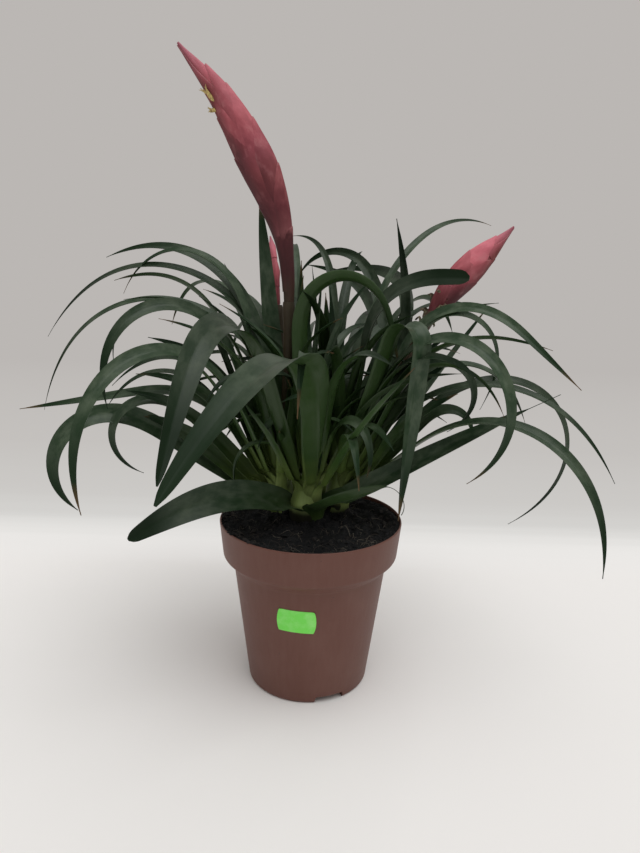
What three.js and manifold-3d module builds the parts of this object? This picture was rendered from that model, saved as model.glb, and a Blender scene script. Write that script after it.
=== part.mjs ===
// A flowering bromeliad in a plastic nursery pot, in millimetres, +Z up.
// The origin is the centre of the pot's underside. -Y faces the viewer, +X is to the right.
import * as THREE from 'three';
import { mergeVertices } from 'three/addons/utils/BufferGeometryUtils.js';
import Module from 'manifold-3d';

const wasm = await Module();
wasm.setup();

// Clearance between pieces that touch.
const FIT = 0.3;

// Pot: outer profile from the foot to the rim, as radius and height.
const POT_HEIGHT = 122.5;
const POT_RIM_RADIUS = 65;
const POT_BAND_FOOT = { radius: 62.5, height: 97.5 };
const POT_WALL_TOP = { radius: 55, height: 90 };
const POT_FOOT_RADIUS = 43.8;
const POT_FOOT_CHAMFER = 1.4;
const POT_WALL = 1.3;
const POT_FLOOR = 2;
const POT_RIM_EDGE = { step: 1, radius: 0.4 };
const POT_SIDES = 40;

// Foot notches: the air gaps under the edge, each with a drain hole above it.
const NOTCH_COUNT = 3;
const NOTCH_FIRST_AZIMUTH = -68;
const NOTCH_WIDTH = 21;
const NOTCH_HEIGHT = 5;
const NOTCH_INNER_RADIUS = 33;
const NOTCH_OUTER_RADIUS = 50;
const DRAIN_RADIUS = 3;
const NOTCH_DRAIN_RADIUS_FROM_AXIS = 38.5;
const FLOOR_DRAIN_COUNT = 5;
const FLOOR_DRAIN_RADIUS_FROM_AXIS = 19;

// Soil: a plug with a lumpy, slightly mounded top.
const SOIL_SIDES = 28;
const SOIL_EDGE_HEIGHT = 116.5;
const SOIL_MOUND = 2.5;
const SOIL_LUMP = 1.7;
const SOIL_WALL_GAP = 0.45;
const SOIL_RINGS = [12, 24, 35, 45, 54];
const SOIL_EDGE_RADIUS = 62.2;

// Rosettes: five crowns stand round the middle of the clump, each with its own share of the circle.
const CLUMP_X = -2;
const CLUMP_Y = 30;
const CROWN_DISTANCE = { front: 22, right: 22, back_right: 20, back_left: 20, left: 22 };
const CROWN_AZIMUTH = { front: 270, right: -18, back_right: 54, back_left: 126, left: 198 };
const WEDGE_FAN = 31.5;
const CORE_RADIUS = { front: 10, right: 8.5, back_right: 7.5, back_left: 7.5, left: 8.5 };
const CORE_FOOT = 104;
const CORE_TOP = 136;
const CORE_SIDES = 12;
const ROOT_SPREAD = 1.6;
const OUTER_ROOT = { rise: 30, height: 123, offset: 5 };
const INNER_ROOT = { rise: 88, height: 128, offset: 1.5 };

// Leaf blades.
const BLADE_THICKNESS = 0.9;
const BASE_CHANNEL = 0.65;
const BLADE_CHANNEL = 0.3;
const ROOT_NARROWING = [0.3, 0.75];
const LOW_RISE = 36;
const HIGH_RISE = 60;
const ROOT_NARROW_TO = 0.28;
const BASE_CHANNEL_TO = 0.35;
const TAPER_POWER = 4;
const TIP_WIDTH = 1.3;
const TWIST_FROM = 0.15;
const STEPS_PER_STRAIGHT_LEAF = 5;
const TURN_PER_STEP = 27;
const FINE_STEPS = 64;

// Each leaf: azimuth, rise from level at the root, length, turn of the arch, the shares of the
// length between which it turns, sway of the azimuth along the leaf, width, twist of the blade at
// the tip, roll of the whole blade, and how far down its taper the blade ends: under 1 it ends
// blunt and over 1 in a thread. Degrees and mm.
const LEAVES = {
  front: [
    [229, 64, 290, 112, 0.37, 0.82, 35, 20, -18, -20, 0.96],
    [282, 58, 314, 104, 0.15, 1.1, -46, 21, -82, 50, 0.95],
    [228, 31, 148, 52, 0, 1.1, -5, 22, -30, -42, 0.92],
    [278, 28, 132, 185, 0.75, 1.1, 52, 14, -68, 0, 1.2],
    [300, 55, 165, 15, 0, 1, 0, 7, 0],
    [319, 72, 134, 198, 0.35, 1.1, -20, 9, 35, 21],
    [-5, 93, 260, 169, 0.45, 0.9, 0, 13, 21, -62],
    [335, 33, 190, 5, 0.3, 1.1, 20, 15, -30, 60, 1.12],
  ],
  right: [
    [2, 82, 212, 81, 0.53, 0.96, -23, 18, 69, -14, 0.8],
    [-15, 70, 270, 110, 0.4, 0.85, -15, 10, 25, 30],
    [5, 70, 260, 185, 0.4, 1, 0, 8, 15, 30],
    [-40, 70, 290, 220, 0.25, 1.1, 0, 11, 10, 30],
    [-20, 65, 205, 215, 0.45, 1.05, -5, 9, 20, 30],
    [8, 50, 315, 205, 0.2, 1.1, -10, 8, 25, 30],
    [-10, 65, 260, 130, 0.05, 1.1, -10, 7, 5, 30],
    [-32, 45, 270, 140, 0.2, 1.1, -5, 10, 50],
    [-10, 50, 140, 170, 0.6, 1.1, 0, 12, 30, 30],
    [-45, 70, 290, 165, 0.45, 0.6, -5, 19, 10],
  ],
  back_right: [
    [20, 49, 227, -57, 0, 1, 13, 11, 46],
    [25, 76, 310, 90, 0.3, 1.1, 20, 7, 40],
    [32, 35, 205, -15, 0.25, 0.4, -10, 8, 30],
    [2, 57, 280, 140, 0.65, 1.1, 188, 13, -82],
    [-10, 61, 299, 72, 0.24, 1.1, 167, 16, -87],
    [18, 56, 258, 54, 0.45, 1.1, 145, 13, -73],
    [65, 75, 243, 85, 0.54, 1.1, 66, 8, -50],
  ],
  back_left: [
    [130, 70, 200, 25, 0.5, 0.7, 0, 13, 0],
    [130, 72, 227, -9, 0, 0.67, 0, 16, -22],
    [95, 80, 245, 110, 0.5, 1.1, 0, 9, 0],
  ],
  left: [
    [180, 90, 325, 150, 0.1, 1.1, -14, 7, -5, -35],
    [168, 83, 270, 110, 0.3, 1.1, -3, 12, -15, -35],
    [180, 80, 265, 155, 0.45, 1.1, -12, 7, -5, -35],
    [195, 90, 320, 170, 0.05, 1.1, -25, 7, 5, -35],
    [202, 72, 265, 185, 0.35, 1.1, 20, 12, -20, -35],
    [190, 70, 240, 180, 0.45, 1.1, -5, 7, 0, -35],
    [222, 65, 290, 175, 0.2, 1.1, 10, 12, -10, -35],
    [185, 60, 230, 70, 0.2, 0.65, -8, 9, -15, -35],
    [190, 48, 200, 215, 0.4, 1.1, 10, 10, -20, -35],
    [180, 35, 235, 180, 0.4, 1.1, 40, 16, 5, -60],
  ],
};

// Blooms: each stands on a scape from a rosette's heart and lies in one vertical plane. The points
// are distance out from the heart and height; half widths are taken at even shares of the length.
const BLOOMS = {
  tall: {
    crown: 'left',
    azimuth: 163,
    scape: [[0, 112], [-2, 190], [-4, 240], [-4, 268]],
    line: [[-4, 268], [-3, 291], [2, 322], [13, 351], [30, 382], [48, 409], [78, 442]],
    halfWidths: [3.4, 4.4, 5, 8.2, 11.2, 13.2, 12, 9.8, 7, 4, 0.5],
    bracts: 11,
    bractSpan: [0.16, 0.78],
  },
  right: {
    crown: 'right',
    azimuth: 16,
    scape: [[0, 112], [14, 160], [40, 212], [66, 262]],
    line: [[66, 262], [80, 281], [98.5, 300.5], [115.7, 316.4], [129, 329]],
    halfWidths: [2.6, 6.6, 9.4, 11, 10.4, 7.6, 3.6, 0.5],
    bracts: 6,
    bractSpan: [0.05, 0.68],
  },
  back: {
    crown: 'back_left',
    azimuth: 114,
    scape: [[0, 112], [20, 180], [34, 230], [42, 262]],
    line: [[42, 262], [48, 283], [54, 302], [61, 319]],
    halfWidths: [2.4, 4, 5.6, 6, 4, 0.5],
    bracts: 4,
    bractSpan: [0.05, 0.6],
  },
};
const BLOOM_STATIONS = 14;
const BLOOM_SIDES = 8;
const BLOOM_FLATNESS = 0.16;
const BLOOM_THIN_EDGE = 2;
const BRACT_LENGTH = 0.27;
const BRACT_STATIONS = 4;
const BRACT_SIDES = 6;
const SCAPE_RADIUS = 2;
const SCAPE_SIDES = 6;
const SCAPE_STATIONS = 7;
const SCAPE_PEG = 7;
const SCAPE_LEAD = 23;

// Dry yellow flowers that stick out of the tall bloom's flat face near its lower edge: the share of
// the bloom's length, how far out towards the edge, lean towards the edge and length. All of them
// point forward, out of the face, by one angle.
const FLOWERS = [
  { share: 0.765, out: 0.6, lean: 4, length: 9 },
  { share: 0.735, out: 0.85, lean: 55, length: 4.5 },
];
const FLOWER_FORWARD = 20;
const FLOWER_RADIUS = 1.1;
const FLOWER_ROOT = 3;

// Price label: a bare sticker on the pot's wall, a little rounder at its two ends.
const LABEL_WIDTH = 27;
const LABEL_HEIGHT = 17;
const LABEL_BULGE = 1.4;
const LABEL_AZIMUTH = -98.5;
const LABEL_MIDDLE_HEIGHT = 67.5;
const LABEL_TILT = 2;
const LABEL_THICKNESS = 0.5;
const LABEL_STEPS = 8;

// The younger and inner leaves that fill each rosette, placed by rule.
const INNER_LEAVES = { front: 4, right: 7, back_right: 7, back_left: 7, left: 7 };
const HEART_LEAVES = 2;
const HEART_RISE = 86.5;
const HEART_TURN = 5;
const HEART_FAN = 60;
const HEART_LENGTH = [145, 165];
const FAN_LENGTH = [145, 210];
const FAN_RISE = [84, 60];
const FAN_RISE_SCATTER = 8;
const FAN_TURN = [50, 150];
const FAN_TURN_SCATTER = [0.7, 1.15];
const FAN_STRAIGHT_TO = [0.3, 0.5];
const FAN_TURN_TO = 1.05;
const FAN_WIDTH = [7.5, 12];
const FAN_TWIST = [-40, 40];
const STEEP_RISE = 76;
const STEEP_SPREAD = 2;
const EXTRA_REACH = { front: 10, right: 30, back_right: 90, back_left: 90, left: 30 };
const GOLDEN_SHARE = 0.618034;
const RANDOM_FACTOR = 16807;
const RANDOM_LIMIT = 2147483647;

const COLOURS = {
  pot: 0x5b3e36,
  soil: 0x1b1816,
  leaf: 0x2f4230,
  bloom: 0x9c4a50,
  flower: 0xb3a069,
  label: 0x6fd958,
};

const radians = (degrees) => (degrees * Math.PI) / 180;
const polar = (radius, azimuth) => [
  radius * Math.cos(radians(azimuth)),
  radius * Math.sin(radians(azimuth)),
];
const mix = (a, b, share) => a + (b - a) * share;
const smooth = (value) => {
  const x = Math.min(Math.max(value, 0), 1);
  return x * x * (3 - 2 * x);
};

// A seeded draw from 0 to 1.
function makeRandom(seed) {
  let state = seed;
  return () => {
    state = (state * RANDOM_FACTOR) % RANDOM_LIMIT;
    return state / RANDOM_LIMIT;
  };
}

// Turns a closed three.js geometry into a solid that can be joined and cut.
function solid(geometry) {
  const plain = geometry.clone();
  plain.deleteAttribute('normal');
  plain.deleteAttribute('uv');
  const merged = mergeVertices(plain, 1e-4);
  return new wasm.Manifold(
    new wasm.Mesh({
      numProp: 3,
      vertProperties: new Float32Array(merged.getAttribute('position').array),
      triVerts: new Uint32Array(merged.getIndex().array),
    }),
  );
}

// The largest body of a solid, with sealed hollows filled and loose scraps dropped.
function mainBody(joined) {
  return joined.decompose().reduce((best, body) => (body.volume() > best.volume() ? body : best));
}

function geometryOf(body) {
  const mesh = body.getMesh();
  const geometry = new THREE.BufferGeometry();
  geometry.setAttribute('position', new THREE.BufferAttribute(mesh.vertProperties, 3));
  geometry.setIndex(new THREE.BufferAttribute(mesh.triVerts, 1));
  geometry.computeVertexNormals();
  return geometry;
}

function namedMesh(name, body, colour, roughness) {
  const material = new THREE.MeshStandardMaterial({ color: colour, roughness, metalness: 0 });
  const mesh = new THREE.Mesh(geometryOf(mainBody(body)), material);
  mesh.name = name;
  return mesh;
}

// A closed tube through rings of points with the same count, ends closed by a fan.
function loft(rings) {
  const count = rings[0].length;
  const positions = [];
  const indices = [];
  for (const ring of rings) {
    for (const point of ring) positions.push(point.x, point.y, point.z);
  }
  for (let row = 0; row < rings.length - 1; row += 1) {
    for (let side = 0; side < count; side += 1) {
      const a = row * count + side;
      const b = row * count + ((side + 1) % count);
      indices.push(a, b, b + count, a, b + count, a + count);
    }
  }
  const last = (rings.length - 1) * count;
  for (let side = 1; side < count - 1; side += 1) {
    indices.push(0, side + 1, side);
    indices.push(last, last + side, last + side + 1);
  }
  const geometry = new THREE.BufferGeometry();
  geometry.setAttribute('position', new THREE.Float32BufferAttribute(positions, 3));
  geometry.setIndex(indices);
  return geometry;
}

// A lathe about +Z from a profile of radius and height pairs.
function lathe(profile, sides) {
  const points = profile.map(([radius, height]) => new THREE.Vector2(radius, height));
  const geometry = new THREE.LatheGeometry(points, sides);
  geometry.rotateX(Math.PI / 2);
  return geometry;
}

function cylinder(radius, foot, top, x, y, sides = 8) {
  const geometry = new THREE.CylinderGeometry(radius, radius, top - foot, sides);
  geometry.rotateX(Math.PI / 2);
  geometry.translate(x, y, (foot + top) / 2);
  return solid(geometry);
}

// A box that reaches from an inner to an outer radius along an azimuth.
function radialBox(inner, outer, width, foot, top, azimuth) {
  const geometry = new THREE.BoxGeometry(outer - inner, width, top - foot);
  geometry.translate((inner + outer) / 2, 0, (foot + top) / 2);
  geometry.rotateZ(radians(azimuth));
  return solid(geometry);
}

// The pot's inner wall radius at a height.
function potInnerRadius(height) {
  const knots = [
    [POT_FLOOR, POT_FOOT_RADIUS - POT_WALL],
    [POT_WALL_TOP.height, POT_WALL_TOP.radius - POT_WALL],
    [POT_BAND_FOOT.height, POT_BAND_FOOT.radius - POT_WALL],
    [POT_HEIGHT, POT_RIM_RADIUS - POT_WALL],
  ];
  for (let i = 1; i < knots.length; i += 1) {
    const [z0, r0] = knots[i - 1];
    const [z1, r1] = knots[i];
    if (height <= z1) return mix(r0, r1, (height - z0) / (z1 - z0));
  }
  return knots[knots.length - 1][1];
}

const notchAzimuths = Array.from(
  { length: NOTCH_COUNT },
  (_, i) => NOTCH_FIRST_AZIMUTH + (360 / NOTCH_COUNT) * i,
);

function makePot() {
  const outer = [
    [0, 0],
    [POT_FOOT_RADIUS - POT_FOOT_CHAMFER, 0],
    [POT_FOOT_RADIUS, POT_FOOT_CHAMFER],
    [POT_WALL_TOP.radius, POT_WALL_TOP.height],
    [POT_BAND_FOOT.radius, POT_BAND_FOOT.height],
    [POT_RIM_RADIUS, POT_HEIGHT - POT_RIM_EDGE.step],
    [POT_RIM_RADIUS - POT_RIM_EDGE.radius, POT_HEIGHT],
  ];
  const inner = [
    [POT_RIM_RADIUS - POT_WALL, POT_HEIGHT],
    [POT_BAND_FOOT.radius - POT_WALL, POT_BAND_FOOT.height],
    [POT_WALL_TOP.radius - POT_WALL, POT_WALL_TOP.height],
    [POT_FOOT_RADIUS - POT_WALL, POT_FLOOR],
    [0, POT_FLOOR],
  ];
  const filled = solid(lathe([...outer, [0, POT_HEIGHT]], POT_SIDES));
  let pot = solid(lathe([...outer, ...inner], POT_SIDES));
  for (const azimuth of notchAzimuths) {
    const pocket = radialBox(
      NOTCH_INNER_RADIUS - POT_WALL,
      NOTCH_OUTER_RADIUS,
      NOTCH_WIDTH + 2 * POT_WALL,
      0,
      NOTCH_HEIGHT + POT_WALL,
      azimuth,
    );
    const gap = radialBox(NOTCH_INNER_RADIUS, NOTCH_OUTER_RADIUS, NOTCH_WIDTH, -1, NOTCH_HEIGHT, azimuth);
    const [x, y] = polar(NOTCH_DRAIN_RADIUS_FROM_AXIS, azimuth);
    const drain = cylinder(DRAIN_RADIUS, -1, NOTCH_HEIGHT + 2 * POT_WALL, x, y);
    pot = pot.add(pocket.intersect(filled)).subtract(gap).subtract(drain);
  }
  for (let i = 0; i < FLOOR_DRAIN_COUNT; i += 1) {
    const [x, y] = polar(FLOOR_DRAIN_RADIUS_FROM_AXIS, (360 / FLOOR_DRAIN_COUNT) * i);
    pot = pot.subtract(cylinder(DRAIN_RADIUS, -1, POT_FLOOR + 1, x, y));
  }
  return namedMesh('pot', pot, COLOURS.pot, 0.55);
}

// The soil's height at a radius and azimuth in radians, away from the wall.
function soilHeight(radius, angle) {
  const mound = SOIL_MOUND * (1 - smooth(radius / SOIL_EDGE_RADIUS));
  const wave =
    Math.sin(radius * 0.55 + 3 * angle) +
    Math.sin(radius * 0.31 - 5 * angle + 1.3) +
    Math.sin(radius * 0.83 + 8 * angle + 0.7);
  return SOIL_EDGE_HEIGHT + mound + (SOIL_LUMP * wave) / 3;
}

function crownPlace(name) {
  const [x, y] = polar(CROWN_DISTANCE[name], CROWN_AZIMUTH[name]);
  return [CLUMP_X + x, CLUMP_Y + y];
}

function makeSoil() {
  const ring = (radius, heightAt) =>
    Array.from({ length: SOIL_SIDES }, (_, i) => {
      const angle = (2 * Math.PI * i) / SOIL_SIDES;
      return new THREE.Vector3(radius * Math.cos(angle), radius * Math.sin(angle), heightAt(angle));
    });
  const wallRing = (height) => ring(potInnerRadius(height) - SOIL_WALL_GAP, () => height);
  const rings = [
    wallRing(POT_FLOOR + FIT),
    wallRing(POT_WALL_TOP.height + FIT),
    wallRing(POT_BAND_FOOT.height + FIT),
    ring(SOIL_EDGE_RADIUS, (angle) => soilHeight(SOIL_EDGE_RADIUS, angle)),
    ...[...SOIL_RINGS].reverse().map((radius) => ring(radius, (angle) => soilHeight(radius, angle))),
  ];
  let soil = solid(loft(rings));
  for (const azimuth of notchAzimuths) {
    const inner = NOTCH_INNER_RADIUS - POT_WALL - FIT;
    const width = NOTCH_WIDTH + 2 * POT_WALL + 2 * FIT;
    const top = NOTCH_HEIGHT + POT_WALL + FIT;
    soil = soil.subtract(radialBox(inner, NOTCH_OUTER_RADIUS, width, 0, top, azimuth));
  }
  for (const name of Object.keys(CROWN_AZIMUTH)) {
    const [x, y] = crownPlace(name);
    const hole = cylinder(CORE_RADIUS[name] + FIT, CORE_FOOT - FIT, CORE_TOP, x, y, CORE_SIDES);
    soil = soil.subtract(hole);
  }
  return namedMesh('soil', soil, COLOURS.soil, 0.95);
}

// The shares of a leaf's length where it gets a station: closest where it turns.
function leafStations([, , , turn, turnFrom, turnTo]) {
  const from = Math.max(turnFrom, 0);
  const to = Math.min(turnTo, 1);
  const spans = [
    [0, from, Math.ceil(from * STEPS_PER_STRAIGHT_LEAF)],
    [from, to, Math.max(Math.round(Math.abs(turn) / TURN_PER_STEP), 2)],
    [to, 1, Math.ceil((1 - to) * STEPS_PER_STRAIGHT_LEAF)],
  ];
  const shares = [0];
  for (const [start, end, steps] of spans) {
    for (let i = 1; i <= steps; i += 1) shares.push(mix(start, end, i / steps));
  }
  return shares;
}

// The points and directions along a leaf's midrib.
function leafLine(crown, root, leaf) {
  const [azimuth, rise, length, turn, turnFrom, turnTo, sway, , twist, lean = 0] = leaf;
  const [dx, dy] = polar(root.offset, root.azimuth);
  const point = new THREE.Vector3(crown[0] + dx, crown[1] + dy, root.height);
  const directionAt = (share) => {
    const slope = radians(rise - turn * smooth((share - turnFrom) / (turnTo - turnFrom)));
    const heading = radians(azimuth + sway * share);
    const level = Math.cos(slope);
    const along = new THREE.Vector3(
      level * Math.cos(heading),
      level * Math.sin(heading),
      Math.sin(slope),
    );
    return { along, across: new THREE.Vector3(-Math.sin(heading), Math.cos(heading), 0) };
  };
  let reached = 0;
  return leafStations(leaf).map((share) => {
    const fine = Math.ceil((share - reached) * FINE_STEPS);
    for (let j = 0; j < fine; j += 1) {
      const middle = mix(reached, share, (j + 0.5) / fine);
      point.addScaledVector(directionAt(middle).along, (length * (share - reached)) / fine);
    }
    reached = share;
    const { along, across } = directionAt(share);
    const roll = radians(lean + twist * smooth((share - TWIST_FROM) / (1 - TWIST_FROM)));
    across.applyAxisAngle(along, roll);
    return { share, point: point.clone(), across, up: along.clone().cross(across) };
  });
}

// A channelled blade with matched triangles on its two faces.
function leafGeometry(crown, root, leaf) {
  const [, rise, , , , , , width, , , ending = 1] = leaf;
  const narrowing = mix(...ROOT_NARROWING, smooth((rise - LOW_RISE) / (HIGH_RISE - LOW_RISE)));
  const rings = leafLine(crown, root, leaf).map(({ share, point, across, up }) => {
    const waist = 1 - narrowing * (1 - smooth(share / ROOT_NARROW_TO));
    const taper = 1 - (share * ending) ** TAPER_POWER;
    const half = Math.max(width * waist * taper, TIP_WIDTH) / 2;
    const lift = half * mix(BASE_CHANNEL, BLADE_CHANNEL, smooth(share / BASE_CHANNEL_TO));
    const at = (side, raised) =>
      point.clone().addScaledVector(across, side * half).addScaledVector(up, raised);
    return [
      at(-1, lift),
      at(-1, lift - BLADE_THICKNESS),
      at(0, -BLADE_THICKNESS),
      at(1, lift - BLADE_THICKNESS),
      at(1, lift),
      at(0, 0),
    ];
  });
  return bladeLoft(rings);
}

// Closes a blade of six-point rings. Each half of the blade has its diagonals alike on both faces.
function bladeLoft(rings) {
  const positions = [];
  const indices = [];
  for (const ring of rings) {
    for (const point of ring) positions.push(point.x, point.y, point.z);
  }
  const quad = (a, b, c, d, flip) => {
    if (flip) indices.push(a, b, d, b, c, d);
    else indices.push(a, b, c, a, c, d);
  };
  for (let row = 0; row < rings.length - 1; row += 1) {
    const o = row * 6;
    const n = o + 6;
    quad(o, o + 1, n + 1, n, false);
    quad(o + 1, o + 2, n + 2, n + 1, false);
    quad(o + 2, o + 3, n + 3, n + 2, true);
    quad(o + 3, o + 4, n + 4, n + 3, false);
    quad(o + 4, o + 5, n + 5, n + 4, false);
    quad(o + 5, o, n, n + 5, true);
  }
  const cap = (o, outward) => {
    const faces = [
      [0, 2, 1],
      [0, 5, 2],
      [5, 3, 2],
      [5, 4, 3],
    ];
    for (const [a, b, c] of faces) {
      if (outward) indices.push(o + a, o + c, o + b);
      else indices.push(o + a, o + b, o + c);
    }
  };
  cap(0, false);
  cap((rings.length - 1) * 6, true);
  const geometry = new THREE.BufferGeometry();
  geometry.setAttribute('position', new THREE.Float32BufferAttribute(positions, 3));
  geometry.setIndex(indices);
  return geometry;
}

// The leaves that a rosette gets by rule: the first stand upright in its heart and lean over the
// middle of the clump, the next fan out upright, and the last lean out, longer and more arched.
function innerLeaves(name) {
  const count = INNER_LEAVES[name];
  const bisector = CROWN_AZIMUTH[name];
  const random = makeRandom(bisector * 31 + 1007);
  return Array.from({ length: count }, (_, i) => {
    const heart = i < HEART_LEAVES;
    const age = (i + 0.5) / count;
    const spread = 2 * (((i + 1) * GOLDEN_SHARE) % 1) - 1;
    const rise = heart ? HEART_RISE : mix(...FAN_RISE, age) + FAN_RISE_SCATTER * (random() - 0.5);
    const fan = heart ? HEART_FAN : WEDGE_FAN + Math.max(rise - STEEP_RISE, 0) * STEEP_SPREAD;
    const azimuth = bisector + (heart ? 180 : 0) + spread * fan;
    const length = mix(...(heart ? HEART_LENGTH : FAN_LENGTH), random()) + EXTRA_REACH[name] * age;
    const turn = heart ? HEART_TURN : mix(...FAN_TURN, age) * mix(...FAN_TURN_SCATTER, random());
    const width = mix(...FAN_WIDTH, random());
    const twist = mix(...FAN_TWIST, random());
    const straightTo = mix(...FAN_STRAIGHT_TO, random());
    return [azimuth, rise, length, turn, straightTo, FAN_TURN_TO, 0, width, twist];
  });
}

function makeRosette(name) {
  const crown = crownPlace(name);
  const radius = CORE_RADIUS[name];
  const profile = [
    [0, CORE_FOOT],
    [radius, CORE_FOOT],
    [radius, OUTER_ROOT.height],
    [radius * 0.75, CORE_TOP - 5],
    [0, CORE_TOP],
  ];
  const core = lathe(profile, CORE_SIDES);
  core.translate(crown[0], crown[1], 0);
  const parts = [solid(core)];
  for (const leaf of [...LEAVES[name], ...innerLeaves(name)]) {
    const share = smooth((leaf[1] - OUTER_ROOT.rise) / (INNER_ROOT.rise - OUTER_ROOT.rise));
    const root = {
      azimuth: CROWN_AZIMUTH[name] + ROOT_SPREAD * (leaf[0] - CROWN_AZIMUTH[name]),
      offset: mix(OUTER_ROOT.offset, INNER_ROOT.offset, share),
      height: mix(OUTER_ROOT.height, INNER_ROOT.height, share),
    };
    parts.push(solid(leafGeometry(crown, root, leaf)));
  }
  for (const bloom of Object.values(BLOOMS)) {
    if (bloom.crown === name) parts.push(scapeSolid(bloom, 0));
  }
  return namedMesh(`rosette_${name}`, wasm.Manifold.union(parts), COLOURS.leaf, 0.5);
}

// A smooth curve through points in the vertical plane at a bloom's azimuth.
function planeCurve({ crown, azimuth }, points) {
  const [cx, cy] = crownPlace(crown);
  return new THREE.CatmullRomCurve3(
    points.map(([out, height]) => {
      const [dx, dy] = polar(out, azimuth);
      return new THREE.Vector3(cx + dx, cy + dy, height);
    }),
  );
}

// Unit vectors at a bloom's curve: along it, across it in its plane, and out of its plane.
function bloomFrame(bloom, curve, share) {
  const along = curve.getTangentAt(share);
  const [nx, ny] = polar(1, bloom.azimuth + 90);
  const face = new THREE.Vector3(nx, ny, 0);
  return { point: curve.getPointAt(share), along, face, across: face.clone().cross(along) };
}

function halfWidthAt(bloom, share) {
  const last = bloom.halfWidths.length - 1;
  const place = Math.min(share, 1) * last;
  const i = Math.min(Math.floor(place), last - 1);
  return mix(bloom.halfWidths[i], bloom.halfWidths[i + 1], place - i);
}

const halfThickness = (half) => Math.min(half * 0.8, BLOOM_THIN_EDGE + half * BLOOM_FLATNESS);

// A ring of points round a place, wide across and thin through the face.
function flatRing({ across, face }, centre, half, thick, sides) {
  return Array.from({ length: sides }, (_, i) => {
    const angle = (2 * Math.PI * i) / sides;
    return centre
      .clone()
      .addScaledVector(across, half * Math.cos(angle))
      .addScaledVector(face, thick * Math.sin(angle));
  });
}

// A solid from rings whichever way round they run.
function ringSolid(rings) {
  const geometry = loft(rings);
  const body = solid(geometry);
  if (body.volume() > 0) return body;
  const flipped = geometry.clone();
  const indices = Array.from(geometry.getIndex().array);
  for (let i = 0; i < indices.length; i += 3) indices.splice(i, 3, indices[i], indices[i + 2], indices[i + 1]);
  flipped.setIndex(indices);
  return solid(flipped);
}

// The scape, or with a margin the bore that it stands in.
function scapeSolid(bloom, margin) {
  const curve = planeCurve(bloom, [...bloom.scape, bloom.line[1]]);
  const reach = 1 - (SCAPE_LEAD - SCAPE_PEG - margin) / curve.getLength();
  const rings = Array.from({ length: SCAPE_STATIONS + 1 }, (_, i) => {
    const frame = bloomFrame(bloom, curve, (reach * i) / SCAPE_STATIONS);
    const radius = SCAPE_RADIUS + margin;
    return flatRing(frame, frame.point, radius, radius, SCAPE_SIDES);
  });
  return ringSolid(rings);
}

// One boat-shaped bract that hugs the bloom and stands out of its edge at the tip.
function bractSolid(bloom, curve, start, side) {
  const rings = Array.from({ length: BRACT_STATIONS }, (_, i) => {
    const u = i / (BRACT_STATIONS - 1);
    const share = Math.min(start + BRACT_LENGTH * u, 0.995);
    const frame = bloomFrame(bloom, curve, share);
    const half = halfWidthAt(bloom, share);
    const close = Math.sqrt(Math.max(1 - u ** 3, 0.004));
    const centre = frame.point.clone().addScaledVector(frame.across, side * half * mix(0.2, 0.75, u));
    const wide = half * mix(0.86, 0.42, u) * close;
    const thick = halfThickness(half) * mix(1.02, 1.2, u) * close;
    return flatRing(frame, centre, Math.max(wide, 0.4), Math.max(thick, 0.35), BRACT_SIDES);
  });
  return ringSolid(rings);
}

function flowerFrame(bloom, curve, flower) {
  const frame = bloomFrame(bloom, curve, flower.share);
  const half = halfWidthAt(bloom, flower.share);
  const side = frame.across.z > 0 ? -1 : 1;
  const outward = frame.across.clone().multiplyScalar(side);
  const level = Math.cos(radians(FLOWER_FORWARD));
  const direction = frame.along
    .clone()
    .multiplyScalar(level * Math.cos(radians(flower.lean)))
    .addScaledVector(outward, level * Math.sin(radians(flower.lean)))
    .addScaledVector(frame.face, Math.sin(radians(FLOWER_FORWARD)));
  const across = direction.clone().cross(frame.face).normalize();
  const mouth = frame.point
    .clone()
    .addScaledVector(outward, half * flower.out)
    .addScaledVector(frame.face, halfThickness(half) * Math.sqrt(1 - flower.out ** 2));
  return { direction, across, face: across.clone().cross(direction), mouth };
}

// A dry tubular flower with a spread mouth, or with a margin the slot that it stands in.
function flowerSolid(bloom, curve, flower, margin) {
  const { direction, across, face, mouth } = flowerFrame(bloom, curve, flower);
  const profile = [
    [-FLOWER_ROOT - margin, 0.8],
    [1, 0.9],
    [flower.length * 0.6 + 1, 1],
    [flower.length + 1, 1.7],
  ];
  const rings = profile.map(([distance, scale]) => {
    const centre = mouth.clone().addScaledVector(direction, distance);
    const radius = FLOWER_RADIUS * scale + margin;
    return flatRing({ across, face }, centre, radius, radius, BRACT_SIDES);
  });
  return ringSolid(rings);
}

function makeBloom(name) {
  const bloom = BLOOMS[name];
  const curve = planeCurve(bloom, bloom.line);
  const rings = Array.from({ length: BLOOM_STATIONS + 1 }, (_, i) => {
    const share = i / BLOOM_STATIONS;
    const frame = bloomFrame(bloom, curve, share);
    const half = halfWidthAt(bloom, share);
    return flatRing(frame, frame.point, half, halfThickness(half), BLOOM_SIDES);
  });
  const parts = [ringSolid(rings)];
  for (let i = 0; i < bloom.bracts; i += 1) {
    const start = mix(bloom.bractSpan[0], bloom.bractSpan[1], i / (bloom.bracts - 1));
    parts.push(bractSolid(bloom, curve, start, i % 2 ? 1 : -1));
  }
  let body = wasm.Manifold.union(parts).subtract(scapeSolid(bloom, FIT));
  if (name === 'tall') {
    for (const flower of FLOWERS) body = body.subtract(flowerSolid(bloom, curve, flower, FIT));
  }
  return namedMesh(`bloom_${name}`, body, COLOURS.bloom, 0.5);
}

function makeFlowers() {
  const bloom = BLOOMS.tall;
  const curve = planeCurve(bloom, bloom.line);
  return FLOWERS.map((flower, i) =>
    namedMesh(`flower_${i + 1}`, flowerSolid(bloom, curve, flower, 0), COLOURS.flower, 0.7),
  );
}

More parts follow.
